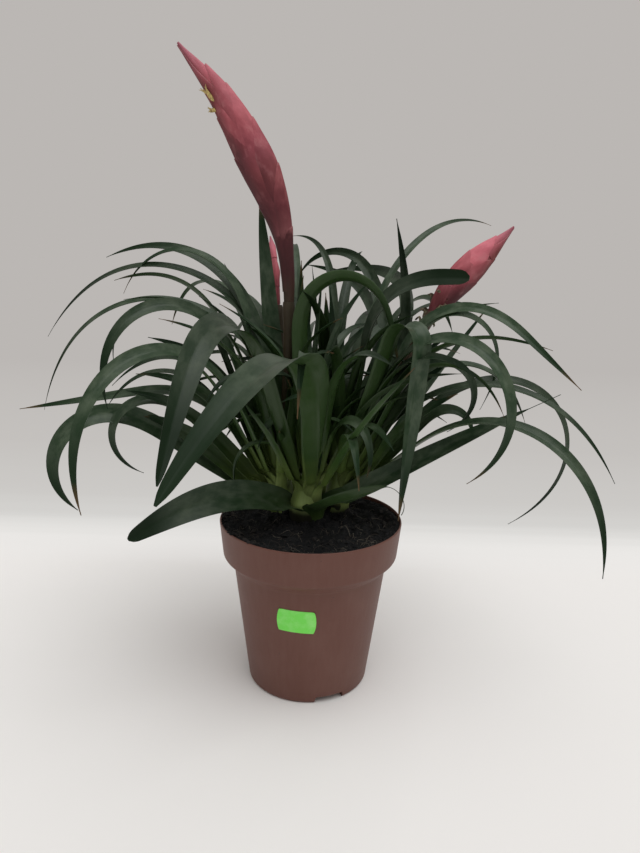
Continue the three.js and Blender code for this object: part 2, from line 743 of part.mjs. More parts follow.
// The sticker is a slab bent round the pot's cone.
function makeLabel() {
  const slope = (POT_WALL_TOP.radius - POT_FOOT_RADIUS) / (POT_WALL_TOP.height - POT_FOOT_CHAMFER);
  const cell = (layer) => {
    const rows = [];
    for (let i = 0; i <= LABEL_STEPS; i += 1) {
      const row = [];
      for (let j = 0; j <= 2; j += 1) {
        const v = j / 2 - 0.5;
        const bulge = LABEL_BULGE * (1 - (2 * v) ** 2);
        const x = (i / LABEL_STEPS - 0.5) * (LABEL_WIDTH - 2 * LABEL_BULGE + 2 * bulge);
        const tilt = radians(LABEL_TILT);
        const side = x * Math.cos(tilt) + v * LABEL_HEIGHT * Math.sin(tilt);
        const height = LABEL_MIDDLE_HEIGHT + v * LABEL_HEIGHT * Math.cos(tilt) - x * Math.sin(tilt);
        const wall = POT_FOOT_RADIUS + (height - POT_FOOT_CHAMFER) * slope;
        const radius = wall + FIT + layer * LABEL_THICKNESS;
        const azimuth = LABEL_AZIMUTH + THREE.MathUtils.radToDeg(side / wall);
        const [px, py] = polar(radius, azimuth);
        row.push(new THREE.Vector3(px, py, height));
      }
      rows.push(row);
    }
    return rows;
  };
  const outer = cell(1);
  const inner = cell(0);
  const rings = outer.map((row, i) => [...row, ...[...inner[i]].reverse()]);
  return namedMesh('price_label', ringSolid(rings), COLOURS.label, 0.6);
}

const plant = new THREE.Group();
for (const name of Object.keys(CROWN_AZIMUTH)) plant.add(makeRosette(name));

const part = new THREE.Group();
part.add(makePot(), makeLabel(), makeSoil(), plant, ...makeFlowers());
for (const name of Object.keys(BLOOMS)) part.add(makeBloom(name));

export default part;
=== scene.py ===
"""A flowering bromeliad clump in a plastic nursery pot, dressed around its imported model.

Sizes of the pieces are in millimetres and degrees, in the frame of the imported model:
the origin is the centre of the pot's underside, +Z is up and -Y faces the viewer.
"""

import logging
import math
from dataclasses import dataclass, field
from enum import Enum

import bmesh
import bpy
import numpy as np
from mathutils import Matrix, Vector

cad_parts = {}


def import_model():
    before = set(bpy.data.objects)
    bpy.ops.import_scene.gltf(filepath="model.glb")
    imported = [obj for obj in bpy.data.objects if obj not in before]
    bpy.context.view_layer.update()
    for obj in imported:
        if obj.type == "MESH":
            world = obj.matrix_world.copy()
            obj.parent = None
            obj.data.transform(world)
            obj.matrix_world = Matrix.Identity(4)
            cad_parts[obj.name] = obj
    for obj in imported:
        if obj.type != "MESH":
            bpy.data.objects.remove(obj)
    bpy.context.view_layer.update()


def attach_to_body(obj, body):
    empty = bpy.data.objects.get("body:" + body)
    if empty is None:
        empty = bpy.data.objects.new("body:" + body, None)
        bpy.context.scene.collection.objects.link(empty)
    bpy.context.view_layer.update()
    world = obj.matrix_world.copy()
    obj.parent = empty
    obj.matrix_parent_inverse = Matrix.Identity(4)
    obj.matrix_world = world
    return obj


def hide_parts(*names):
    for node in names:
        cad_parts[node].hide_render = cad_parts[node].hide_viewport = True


MM = 0.001
BODY = "root"
LOG = logging.getLogger("bromeliad")

GOLDEN = 0.618034

Point = tuple[float, float]
Colour = tuple[float, float, float]
Array = np.ndarray
Faces = list[tuple[int, ...]]
Look = np.ndarray | list[float] | tuple[float, ...] | None
Socket = bpy.types.NodeSocket
Material = bpy.types.Material
Piece = bpy.types.Object


# Numbers and curves


def smooth(value: Array | float) -> Array | float:
    """Eases from 0 to 1.

    Args:
        value: Where to read the ease; it is held between 0 and 1.

    Returns:
        The eased value.
    """
    x = np.clip(value, 0.0, 1.0)
    return x * x * (3 - 2 * x)


def mix(a: float, b: float, share: Array | float) -> Array | float:
    """Goes from a to b as share goes from 0 to 1."""
    return a + (b - a) * share


def polar(radius: float, azimuth: float) -> Array:
    """The level place at a radius and an azimuth in degrees."""
    angle = math.radians(azimuth)
    return np.array([radius * math.cos(angle), radius * math.sin(angle)])


def unit(rows: Array) -> Array:
    """The vectors, one a row, each made one long."""
    return rows / np.linalg.norm(rows, axis=-1, keepdims=True)


class Draws:
    """A seeded row of numbers from 0 to 1."""

    FACTOR = 16807
    LIMIT = 2147483647

    def __init__(self, seed: int) -> None:
        """Starts the row at a seed."""
        self.state = seed

    def next(self) -> float:
        """The next number from 0 to 1."""
        self.state = (self.state * self.FACTOR) % self.LIMIT
        return self.state / self.LIMIT

    def between(self, low: float, high: float) -> float:
        """The next number, from low to high."""
        return mix(low, high, self.next())


class SmoothLine:
    """A smooth curve through points, read by shares of its length."""

    STEPS = 48
    NEARBY = 0.004

    def __init__(self, points: list[Array]) -> None:
        """Runs the curve through the points.

        Args:
            points: The places that the curve passes, in order.
        """
        row = [np.asarray(p, float) for p in points]
        row = [2 * row[0] - row[1], *row, 2 * row[-1] - row[-2]]
        places = [row[1]]
        for p0, p1, p2, p3 in zip(row, row[1:], row[2:], row[3:]):
            d0, d1, d2 = (math.sqrt(np.linalg.norm(b - a)) for a, b in ((p0, p1), (p1, p2), (p2, p3)))
            t1 = ((p1 - p0) / d0 - (p2 - p0) / (d0 + d1) + (p2 - p1) / d1) * d1
            t2 = ((p2 - p1) / d1 - (p3 - p1) / (d1 + d2) + (p3 - p2) / d2) * d1
            for i in range(1, self.STEPS + 1):
                u = i / self.STEPS
                cubic = (2 * p1 - 2 * p2 + t1 + t2) * u**3
                places.append(p1 + t1 * u + (3 * p2 - 3 * p1 - 2 * t1 - t2) * u**2 + cubic)
        self.places = np.array(places)
        steps = np.linalg.norm(np.diff(self.places, axis=0), axis=1)
        self.reached = np.concatenate([[0.0], np.cumsum(steps)])
        self.length = float(self.reached[-1])

    def at(self, shares: Array) -> Array:
        """The places at shares of the length, one a row."""
        where = np.asarray(shares) * self.length
        return np.stack([np.interp(where, self.reached, self.places[:, k]) for k in range(3)], axis=1)

    def along(self, shares: Array) -> Array:
        """The unit directions at shares of the length, one a row.

        Args:
            shares: Shares of the length.

        Returns:
            A direction for each share.
        """
        shares = np.asarray(shares, float)
        low, high = (np.clip(shares + step, 0, 1) for step in (-self.NEARBY, self.NEARBY))
        return unit(self.at(high) - self.at(low))


# Meshes


class MeshDraft:
    """Gathers the faces of one piece, in millimetres, and makes its Blender object."""

    def __init__(self, name: str) -> None:
        """Starts an empty piece with the name that its object gets.

        Args:
            name: The name.
        """
        self.name = name
        self.points: list[Array] = []
        self.looks: list[Array] = []
        self.places: list[Array] = []
        self.faces: Faces = []
        self.count = 0

    def add(self, points: Array, faces: Faces, look: Look = None, place: Array | None = None) -> None:
        """Adds a group of faces.

        Args:
            points: Places in millimetres, one a row.
            faces: Corners of each face, counted within this group.
            look: Four numbers that the finish reads, for each point or for all, or nothing.
            place: Three numbers a point that the finish reads as its own grain, or nothing.
        """
        points = np.asarray(points, float).reshape(-1, 3)
        size = len(points)
        self.points.append(points)
        look = np.zeros(4) if look is None else np.asarray(look)
        self.looks.append(np.broadcast_to(look.reshape(-1, 4), (size, 4)))
        self.places.append(points if place is None else np.asarray(place).reshape(size, 3))
        self.faces.extend(tuple(corner + self.count for corner in face) for face in faces)
        self.count += size

    def add_tube(self, rings: Array, look: Look = None, place: Array | None = None) -> None:
        """Adds a closed tube through rings that have the same number of points.

        Args:
            rings: Places with the shape rings, points, 3.
            look: Numbers for the finish with the shape rings, points, 4, or nothing.
            place: Grain places with the shape rings, points, 3, or nothing.
        """
        rows, sides = rings.shape[:2]
        faces: Faces = []
        for row in range(0, (rows - 1) * sides, sides):
            for side in range(sides):
                a, b = row + side, row + (side + 1) % sides
                faces.append((a, b, b + sides, a + sides))
        faces.append(tuple(range(sides - 1, -1, -1)))
        faces.append(tuple(range((rows - 1) * sides, rows * sides)))
        self.add(rings, faces, look, place)

    def build(self, finish: Material | None = None, sharp: float = 40.0) -> Piece:
        """Makes the object.

        Args:
            finish: The material that it wears, or nothing for a tool.
            sharp: The angle in degrees above which an edge stays sharp.

        Returns:
            The object, linked to the scene.
        """
        mesh = bpy.data.meshes.new(self.name)
        points = np.concatenate(self.points) * MM
        mesh.from_pydata(points.tolist(), [], self.faces)
        look = mesh.attributes.new("look", "FLOAT_COLOR", "POINT")
        look.data.foreach_set("color", np.concatenate(self.looks).astype(np.float32).ravel())
        place = mesh.attributes.new("place", "FLOAT_VECTOR", "POINT")
        place.data.foreach_set("vector", np.concatenate(self.places).astype(np.float32).ravel())
        if finish:
            mesh.materials.append(finish)
        mesh.polygons.foreach_set("use_smooth", [True] * len(self.faces))
        mesh.validate()
        mesh.update()
        outward(mesh)
        mesh.set_sharp_from_angle(angle=math.radians(sharp))
        piece = bpy.data.objects.new(self.name, mesh)
        bpy.context.scene.collection.objects.link(piece)
        return piece


def outward(mesh: bpy.types.Mesh) -> None:
    """Turns every face of a mesh of closed bodies outward.

    Args:
        mesh: The mesh, which is changed.
    """
    draft = bmesh.new()
    draft.from_mesh(mesh)
    bmesh.ops.recalc_face_normals(draft, faces=draft.faces)
    draft.to_mesh(mesh)
    draft.free()


def stacked(*parts: Array | float) -> Array:
    """Puts numbers side by side on a new last axis, each stretched to the same shape."""
    return np.stack(np.broadcast_arrays(*parts), axis=-1)


def ring_angles(sides: int) -> Array:
    """The angles of the points on an even ring."""
    return np.arange(sides) * (2 * math.pi / sides)


def lathe_rings(profile: Array, sides: int) -> Array:
    """Turns a profile about the Z axis.

    Args:
        profile: Radius and height, one pair a row.
        sides: Points on each ring.

    Returns:
        Places with the shape rings, points, 3.
    """
    angles = ring_angles(sides)
    radius, height = profile[:, 0][:, None], profile[:, 1][:, None]
    return stacked(radius * np.cos(angles), radius * np.sin(angles), height)


STEEP_GUIDE = np.array([0.31, 0.22, 0.92])
LEVEL_GUIDE = np.array([0.9, 0.4, 0.1])
LEVEL_BELOW = 0.9


def tube_rings(line: SmoothLine, shares: Array, radii: Array, sides: int) -> Array:
    """Rings of a round tube along a curve.

    Args:
        line: The tube's centre line.
        shares: Where the rings stand, as shares of the line's length.
        radii: The radius of each ring.
        sides: Points on each ring.

    Returns:
        Places with the shape rings, points, 3.
    """
    along = line.along(shares)
    guide = STEEP_GUIDE if abs(along[0][2]) < LEVEL_BELOW else LEVEL_GUIDE
    first = unit(np.cross(along, guide))
    second = np.cross(along, first)
    angles = ring_angles(sides)
    turn = np.stack([np.cos(angles), np.sin(angles)])[:, None, :, None]
    ring = first[:, None] * turn[0] + second[:, None] * turn[1]
    return line.at(shares)[:, None] + ring * np.asarray(radii)[:, None, None]


# Finishes


class Blend(Enum):
    """How two colours are blended."""

    MIX = "MIX"
    MULTIPLY = "MULTIPLY"


class Sum(Enum):
    """What is done with two numbers."""

    ADD = "ADD"
    MULTIPLY = "MULTIPLY"


class Graph:
    """The nodes of one material, with short ways to add and join them."""

    def __init__(self, name: str, **values: float | tuple[float, ...]) -> None:
        """Starts a material with one principled shader.

        Args:
            name: The material's name.
            values: Values of the shader's own sockets, with _ for a space.
        """
        self.material = bpy.data.materials.new(name)
        self.material.use_nodes = True
        self.tree = self.material.node_tree
        self.tree.nodes.clear()
        self.shader = self.add("ShaderNodeBsdfPrincipled")
        out = self.add("ShaderNodeOutputMaterial")
        self.tree.links.new(self.shader.outputs["BSDF"], out.inputs["Surface"])
        for socket, value in values.items():
            self.shader.inputs[socket.replace("_", " ")].default_value = value

    def add(
        self, kind: str, inputs: dict[str | int, object] | None = None, **settings: object
    ) -> bpy.types.Node:
        """Adds a node.

        Args:
            kind: The node's kind.
            inputs: A socket or a value for each input, by its name or place.
            settings: The node's properties.

        Returns:
            The node.
        """
        node = self.tree.nodes.new(kind)
        for name, value in settings.items():
            setattr(node, name, value)
        for name, value in (inputs or {}).items():
            self.join(node.inputs[name], value)
        return node

    def join(self, socket: Socket, value: object) -> None:
        """Links a socket to another, or sets its value.

        Args:
            socket: The input.
            value: The socket that it is linked to, or its value.
        """
        if isinstance(value, Socket):
            self.tree.links.new(value, socket)
        elif socket.type == "RGBA":
            socket.default_value = (*value, 1.0)
        else:
            socket.default_value = value

    def to_shader(self, name: str, value: Socket) -> None:
        """Links one of the shader's sockets."""
        self.tree.links.new(value, self.shader.inputs[name])

    def place(self, scale: tuple[float, float, float] = (1.0, 1.0, 1.0)) -> Socket:
        """The piece's own grain places, in millimetres, with each direction scaled."""
        places = self.add("ShaderNodeAttribute", attribute_name="place").outputs["Vector"]
        return self.add("ShaderNodeMapping", {"Vector": places, "Scale": scale}).outputs["Vector"]

    def look(self) -> list[Socket]:
        """The four numbers that each point of the piece carries for its finish."""
        look = self.add("ShaderNodeAttribute", attribute_name="look").outputs
        return [*self.add("ShaderNodeSeparateColor", {"Color": look["Color"]}).outputs, look["Alpha"]]

    def split(self, vector: Socket) -> list[Socket]:
        """The three parts of a vector."""
        return list(self.add("ShaderNodeSeparateXYZ", {0: vector}).outputs)

    def noise(self, vector: Socket, scale: float, detail: float = 3.0, rough: float = 0.55) -> Socket:
        """A cloudy pattern from 0 to 1."""
        inputs = {"Vector": vector, "Scale": scale, "Detail": detail, "Roughness": rough}
        return self.add("ShaderNodeTexNoise", inputs).outputs[0]

    def levels(
        self, value: Socket, low: float, high: float, to_low: float = 0.0, to_high: float = 1.0
    ) -> Socket:
        """Stretches values from low to high over to_low to to_high, and holds them there."""
        inputs = {"Value": value, "From Min": low, "From Max": high, "To Min": to_low, "To Max": to_high}
        return self.add("ShaderNodeMapRange", inputs).outputs[0]

    def blend(self, factor: object, a: object, b: object, way: Blend = Blend.MIX) -> Socket:
        """Blends two colours, with the factor as the second one's share."""
        inputs = {0: factor, 6: a, 7: b}
        return self.add("ShaderNodeMix", inputs, data_type="RGBA", blend_type=way.value).outputs[2]

    def tinted(self, colour: Socket, amount: Socket) -> Socket:
        """Multiplies a colour by one number."""
        grey = self.add("ShaderNodeCombineColor", {0: amount, 1: amount, 2: amount}).outputs[0]
        return self.blend(1.0, colour, grey, Blend.MULTIPLY)

    def math(self, operation: Sum, a: object, b: object) -> Socket:
        """A sum or a product of two numbers."""
        return self.add("ShaderNodeMath", {0: a, 1: b}, operation=operation.value).outputs[0]

    def bump(self, height: Socket, distance: float, strength: float = 1.0) -> None:
        """Raises the surface by a pattern; the distance is in millimetres."""
        inputs = {"Strength": strength, "Distance": distance * MM, "Height": height}
        self.to_shader("Normal", self.add("ShaderNodeBump", inputs).outputs[0])

    def ramp(self, factor: Socket, stops: tuple[tuple[float, Colour], ...]) -> Socket:
        """Reads a colour from a row of stops.

        Args:
            factor: Where to read it, from 0 to 1.
            stops: Place and colour of each stop.

        Returns:
            The colour.
        """
        node = self.add("ShaderNodeValToRGB")
        marks = node.color_ramp.elements
        while len(marks) < len(stops):
            marks.new(0.5)
        for mark, (where, colour) in zip(marks, stops):
            mark.position = where
            mark.color = (*colour, 1.0)
        self.join(node.inputs[0], factor)
        return node.outputs[0]


@dataclass(frozen=True)
class PotPlastic:
    """Brown moulded plastic, matte, with faint flow streaks and rubbed dust."""

    body: Colour = (0.124, 0.048, 0.034)
    dusty: Colour = (0.165, 0.080, 0.062)
    speck: Colour = (0.03, 0.018, 0.014)

    def material(self) -> Material:
        """Makes the material.

        Returns:
            The material.
        """
        g = Graph("pot_plastic", Roughness=0.5, Specular_IOR_Level=0.4)
        streaks = g.noise(g.place((1.0, 1.0, 0.08)), 0.35, 4.0)
        clouds = g.noise(g.place(), 0.03, 3.0)
        grain = g.noise(g.place(), 1.6, 2.0)
        colour = g.blend(g.levels(streaks, 0.4, 0.75, 0.0, 0.25), self.body, self.dusty)
        colour = g.blend(g.levels(clouds, 0.45, 0.8, 0.0, 0.45), colour, self.dusty)
        specks = g.noise(g.place(), 0.55, 1.0)
        colour = g.blend(g.levels(specks, 0.76, 0.8, 0.0, 0.6), colour, self.speck)
        g.to_shader("Base Color", colour)
        g.to_shader("Roughness", g.levels(grain, 0.2, 0.8, 0.42, 0.6))
        g.bump(g.math(Sum.ADD, g.math(Sum.MULTIPLY, grain, 0.4), streaks), 0.12, 0.5)
        return g.material


@dataclass(frozen=True)
class LabelPaper:
    """Bright green sticker paper with faint fibres and rubbed places."""

    body: Colour = (0.19, 0.80, 0.10)
    worn: Colour = (0.34, 0.86, 0.24)
    fibre: Colour = (0.10, 0.55, 0.05)

    def material(self) -> Material:
        """Makes the material.

        Returns:
            The material.
        """
        g = Graph("label_paper", Roughness=0.62)
        fibres = g.noise(g.place((1.0, 1.0, 4.0)), 1.2, 4.0)
        rubs = g.noise(g.place(), 0.16, 3.0)
        colour = g.blend(g.levels(rubs, 0.45, 0.75, 0.0, 0.7), self.body, self.worn)
        colour = g.blend(g.levels(fibres, 0.3, 0.7, 0.0, 0.12), colour, self.fibre)
        g.to_shader("Base Color", colour)
        g.bump(fibres, 0.05, 0.5)
        return g.material


@dataclass(frozen=True)
class PottingMix:
    """Damp, nearly black peat with brown crumbs."""

    dark: Colour = (0.0060, 0.0070, 0.0078)
    brown: Colour = (0.018, 0.016, 0.015)
    clod: Colour = (0.014, 0.014, 0.014)

    def material(self) -> Material:
        """Makes the material.

        Returns:
            The material.
        """
        g = Graph("potting_mix", Roughness=0.9, Specular_IOR_Level=0.25)
        crumbs = g.noise(g.place(), 0.9, 5.0, 0.65)
        clods = g.noise(g.place(), 0.22, 3.0)
        colour = g.blend(g.levels(crumbs, 0.5, 0.72), self.dark, self.brown)
        colour = g.blend(g.levels(clods, 0.55, 0.8, 0.0, 0.5), colour, self.clod)
        g.to_shader("Base Color", colour)
        g.bump(g.math(Sum.ADD, crumbs, clods), 1.2, 0.8)
        return g.material


@dataclass(frozen=True)
class BarkChip:
    """Bark and peat crumbs, dark brown to black, each with its own shade."""

    dark: Colour = (0.0075, 0.0080, 0.0085)
    light: Colour = (0.036, 0.030, 0.026)

    def material(self) -> Material:
        """Makes the material.

        Returns:
            The material.
        """
        g = Graph("bark_chip", Roughness=0.85, Specular_IOR_Level=0.3)
        shade = g.look()[2]
        grain = g.noise(g.place((1.0, 1.0, 0.3)), 1.4, 4.0)
        colour = g.blend(g.levels(shade, 0.55, 1.0, 0.0, 0.8), self.dark, self.light)
        colour = g.blend(g.levels(grain, 0.35, 0.7, 0.0, 0.5), colour, self.dark)
        g.to_shader("Base Color", colour)
        g.bump(grain, 0.3, 0.8)
        return g.material


@dataclass(frozen=True)
class Fibre:
    """Dry roots and peat fibres, pale straw to brown."""

    pale: Colour = (0.17, 0.15, 0.12)
    brown: Colour = (0.030, 0.023, 0.018)

    def material(self) -> Material:
        """Makes the material.

        Returns:
            The material.
        """
        g = Graph("fibre", Roughness=0.75)
        shade = g.look()[2]
        grain = g.noise(g.place(), 0.8, 2.0)
        colour = g.blend(g.levels(shade, 0.5, 1.0), self.brown, self.pale)
        colour = g.blend(g.levels(grain, 0.4, 0.7, 0.0, 0.4), colour, self.brown)
        g.to_shader("Base Color", colour)
        return g.material


@dataclass(frozen=True)
class LeafSkin:
    """A leathery leaf: pale green at its sheath, dark blue-green above, duller and greener below,
    with fine veins, a thin grey bloom on the upper face that also paints a sheen there, and a dry
    tip on some leaves. Painted shade darkens its foot by the soil and the far end of its blade."""

    # The dark foot colour is painted shade where the leaves meet the soil.
    foot: Colour = (0.016, 0.017, 0.010)
    sheath: Colour = (0.215, 0.285, 0.092)
    base: Colour = (0.105, 0.155, 0.036)
    middle: Colour = (0.027, 0.059, 0.0135)
    blade: Colour = (0.016, 0.039, 0.016)
    under: Colour = (0.022, 0.050, 0.011)
    # The grey bloom is partly the leaf's own scales and partly a painted sheen on the upper face.
    scurf_and_sheen: Colour = (0.100, 0.130, 0.086)
    dry: Colour = (0.100, 0.062, 0.030)
    # A painted shade colour that darkens the far end of each blade.
    shaded_far_end: Colour = (0.008, 0.017, 0.008)
    vein_shade: Colour = (0.6, 0.66, 0.6)

    def material(self) -> Material:
        """Makes the material.

        Returns:
            The material.
        """
        g = Graph("leaf_skin")
        share, _, own, top = g.look()
        g.to_shader("Specular IOR Level", g.levels(share, 0.78, 0.90, 0.26, 0.08))
        height = g.levels(g.split(g.place())[1], 0.0, 160.0)
        wander = g.noise(g.place((0.3, 1.0, 1.0)), 0.03, 2.0)
        height = g.math(Sum.ADD, height, g.levels(wander, 0.3, 0.7, -0.06, 0.06))
        # The dark foot stop paints shade at the crown's foot.
        stops = ((0.07, self.foot), (0.125, self.sheath), (0.22, self.base), (0.44, self.middle))
        upper = g.ramp(height, (*stops, (0.8, self.blade)))
        lower = g.ramp(height, (*stops, (1.0, self.under)))
        colour = g.blend(top, lower, upper)
        veins = g.noise(g.place((1.0, 0.012, 1.0)), 1.9, 2.0, 0.5)
        shaded = g.blend(1.0, colour, self.vein_shade, Blend.MULTIPLY)
        colour = g.blend(g.levels(veins, 0.35, 0.65, 0.0, 0.35), colour, shaded)
        # Grey bloom on the upper face, partly real scales and partly a painted sheen, fading towards the
        # far end.
        cloud = g.noise(g.place((0.5, 0.25, 1.0)), 0.35, 4.0, 0.6)
        scurf_and_sheen = g.levels(cloud, 0.38, 0.68, 0.06, 0.55)
        scurf_and_sheen = g.math(Sum.MULTIPLY, scurf_and_sheen, g.levels(top, 0.0, 1.0, 0.2, 1.0))
        scurf_and_sheen = g.math(Sum.MULTIPLY, scurf_and_sheen, g.levels(height, 0.1, 0.6))
        scurf_and_sheen = g.math(Sum.MULTIPLY, scurf_and_sheen, g.levels(share, 0.76, 0.88, 1.0, 0.1))
        colour = g.blend(scurf_and_sheen, colour, self.scurf_and_sheen)
        # Painted shade: the blade darkens towards its far end.
        colour = g.blend(g.levels(share, 0.76, 0.90, 0.0, 0.6), colour, self.shaded_far_end)
        colour = g.tinted(colour, g.levels(own, 0.0, 1.0, 0.7, 1.25))
        far = g.math(Sum.ADD, share, g.levels(wander, 0.3, 0.7, -0.015, 0.015))
        parched = g.math(Sum.MULTIPLY, g.levels(far, 0.93, 0.985), g.levels(own, 0.62, 0.7))
        colour = g.blend(parched, colour, self.dry)
        g.to_shader("Base Color", colour)
        g.to_shader("Roughness", g.levels(cloud, 0.3, 0.7, 0.30, 0.46))
        g.bump(veins, 0.10, 0.7)
        return g.material


@dataclass(frozen=True)
class BractSkin:
    """Waxy bract: olive on the stem, crimson at the head's foot, coral and rose above, and pale
    along the bract's own margin. A lit and a shaded copy of the colours paint light on the head's
    upper edge and shade on its lower edge; the darker foot is partly its own colour, partly painted
    shade."""

    margin: Colour = (0.50, 0.25, 0.25)
    deep_shade: Colour = (0.72, 0.60, 0.62)
    # lit and shaded are copies of the colours under painted light and painted shade; their dark low stops
    # are partly the head's own crimson and partly painted shade.
    lit: tuple[tuple[float, Colour], ...] = (
        (0.0, (0.050, 0.060, 0.026)),
        (0.42, (0.078, 0.048, 0.032)),
        (0.48, (0.069, 0.019, 0.022)),
        (0.545, (0.084, 0.020, 0.024)),
        (0.556, (0.260, 0.088, 0.094)),
        (0.572, (0.168, 0.048, 0.054)),
        (0.60, (0.118, 0.025, 0.032)),
        (0.67, (0.260, 0.068, 0.076)),
        (0.73, (0.336, 0.078, 0.101)),
        (0.79, (0.496, 0.126, 0.151)),
        (0.91, (0.622, 0.177, 0.223)),
        (1.0, (0.420, 0.156, 0.202)),
    )
    shaded: tuple[tuple[float, Colour], ...] = (
        (0.0, (0.044, 0.050, 0.022)),
        (0.42, (0.056, 0.044, 0.028)),
        (0.48, (0.053, 0.014, 0.016)),
        (0.56, (0.062, 0.015, 0.018)),
        (0.61, (0.069, 0.016, 0.020)),
        (0.67, (0.086, 0.017, 0.022)),
        (0.73, (0.092, 0.021, 0.026)),
        (0.79, (0.132, 0.027, 0.032)),
        (0.90, (0.160, 0.035, 0.033)),
        (1.0, (0.224, 0.056, 0.079)),
    )

    def material(self) -> Material:
        """Makes the material.

        Returns:
            The material.
        """
        g = Graph("bract_skin", Specular_IOR_Level=0.2)
        reached, edge, own, across = g.look()
        soft = g.noise(g.place((1.0, 0.5, 1.0)), 0.055, 2.0, 0.5)
        mottle = g.noise(g.place((1.0, 0.6, 1.0)), 0.16, 3.0, 0.55)
        veins = g.noise(g.place((1.0, 0.03, 1.0)), 1.2, 2.0)
        wander = g.math(Sum.ADD, reached, g.levels(mottle, 0.3, 0.7, -0.014, 0.014))
        # across picks painted light on the head's upper edge and painted shade on its lower edge.
        side = g.math(Sum.ADD, across, g.levels(soft, 0.3, 0.7, -0.20, 0.20))
        shaded, lit = g.ramp(wander, self.shaded), g.ramp(wander, self.lit)
        colour = g.blend(g.levels(side, 0.08, 0.92), shaded, lit)
        colour = g.tinted(colour, g.levels(own, 0.0, 1.0, 0.88, 1.14))
        deep = g.blend(1.0, colour, self.deep_shade, Blend.MULTIPLY)
        colour = g.blend(g.levels(mottle, 0.40, 0.62, 0.5, 0.0), colour, deep)
        colour = g.blend(g.levels(veins, 0.45, 0.7, 0.0, 0.15), colour, deep)
        pale = g.levels(mottle, 0.56, 0.72, 0.0, 0.22)
        pale = g.math(Sum.MULTIPLY, pale, g.levels(reached, 0.58, 0.72))
        colour = g.blend(pale, colour, self.margin)
        rim = g.math(Sum.MULTIPLY, g.levels(edge, 0.6, 1.0, 0.0, 0.4), g.levels(reached, 0.5, 0.6))
        colour = g.blend(rim, colour, self.margin)
        g.to_shader("Base Color", colour)
        g.to_shader("Roughness", g.levels(mottle, 0.3, 0.7, 0.42, 0.56))
        g.bump(veins, 0.05, 0.4)
        return g.material


@dataclass(frozen=True)
class DryPetal:
    """Withered yellow flower tissue with brown ends."""

    yellow: Colour = (0.52, 0.40, 0.14)
    brown: Colour = (0.17, 0.10, 0.045)

    def material(self) -> Material:
        """Makes the material.

        Returns:
            The material.
        """
        g = Graph("dry_petal", Roughness=0.7)
        share = g.look()[0]
        crumple = g.noise(g.place(), 0.9, 4.0)
        colour = g.blend(g.levels(crumple, 0.45, 0.75), self.yellow, self.brown)
        colour = g.blend(g.levels(share, 0.8, 1.0, 0.0, 0.6), colour, self.brown)
        g.to_shader("Base Color", colour)
        g.bump(crumple, 0.3, 0.8)
        return g.material


@dataclass(frozen=True)
class DryBract:
    """Withered bract, straw to olive brown, darker where it has shrivelled most."""

    straw: Colour = (0.27, 0.235, 0.145)
    brown: Colour = (0.115, 0.090, 0.058)
    green: Colour = (0.075, 0.080, 0.036)

    def material(self) -> Material:
        """Makes the material.

        Returns:
            The material.
        """
        g = Graph("dry_bract", Roughness=0.7, Specular_IOR_Level=0.25)
        share, _, own, _ = g.look()
        crumple = g.noise(g.place((1.0, 1.0, 0.4)), 0.5, 4.0)
        colour = g.blend(g.levels(crumple, 0.35, 0.65), self.straw, self.green)
        colour = g.blend(g.levels(own, 0.35, 0.8), colour, self.brown)
        colour = g.blend(g.levels(share, 0.6, 1.0, 0.0, 0.7), colour, self.brown)
        g.to_shader("Base Color", colour)
        g.bump(crumple, 0.4, 0.8)
        return g.material


@dataclass(frozen=True)
class FloorPaper:
    """Plain pale paper, which lies flat round the object, lit by the lamps, and behind it fades
    into a glowing backdrop, painted brighter near the floor and darker further away.
    """

    near: Colour = (0.87, 0.865, 0.855)
    far: Colour = (0.0, 0.0, 0.0)
    # Glow colours of the backdrop, painted brighter where it meets the floor.
    backdrop: tuple[tuple[float, Colour], ...] = (
        (0.0, (0.84, 0.83, 0.82)),
        (0.05, (0.80, 0.79, 0.77)),
        (0.1, (0.66, 0.65, 0.63)),
        (0.16, (0.60, 0.585, 0.565)),
        (0.35, (0.55, 0.53, 0.51)),
        (1.0, (0.497, 0.474, 0.456)),
    )
    fade_from: float = 170.0
    fade_to: float = 300.0
    backdrop_from: float = 1500.0

    def material(self) -> Material:
        """Makes the material.

        Returns:
            The material.
        """
        g = Graph("floor_paper", Roughness=1.0, Specular_IOR_Level=0.0)
        away = g.split(g.place())[1]
        weave = g.noise(g.place((0.02, 1.0, 1.0)), 0.05, 3.0)
        sweep = g.math(Sum.ADD, away, g.levels(weave, 0.3, 0.7, -8.0, 8.0))
        share = g.levels(sweep, self.fade_from, self.fade_to)
        g.to_shader("Base Color", g.ramp(share, ((0.0, self.near), (1.0, self.far))))
        # The far floor glows as a backdrop: its emission paints the lit paper sweep, brighter near the
        # floor and darker further away.
        rise = g.levels(sweep, self.fade_from, self.backdrop_from)
        g.to_shader("Emission Color", g.ramp(rise, self.backdrop))
        g.to_shader("Emission Strength", g.levels(share, 0.0, 1.0))
        return g.material


# Pot


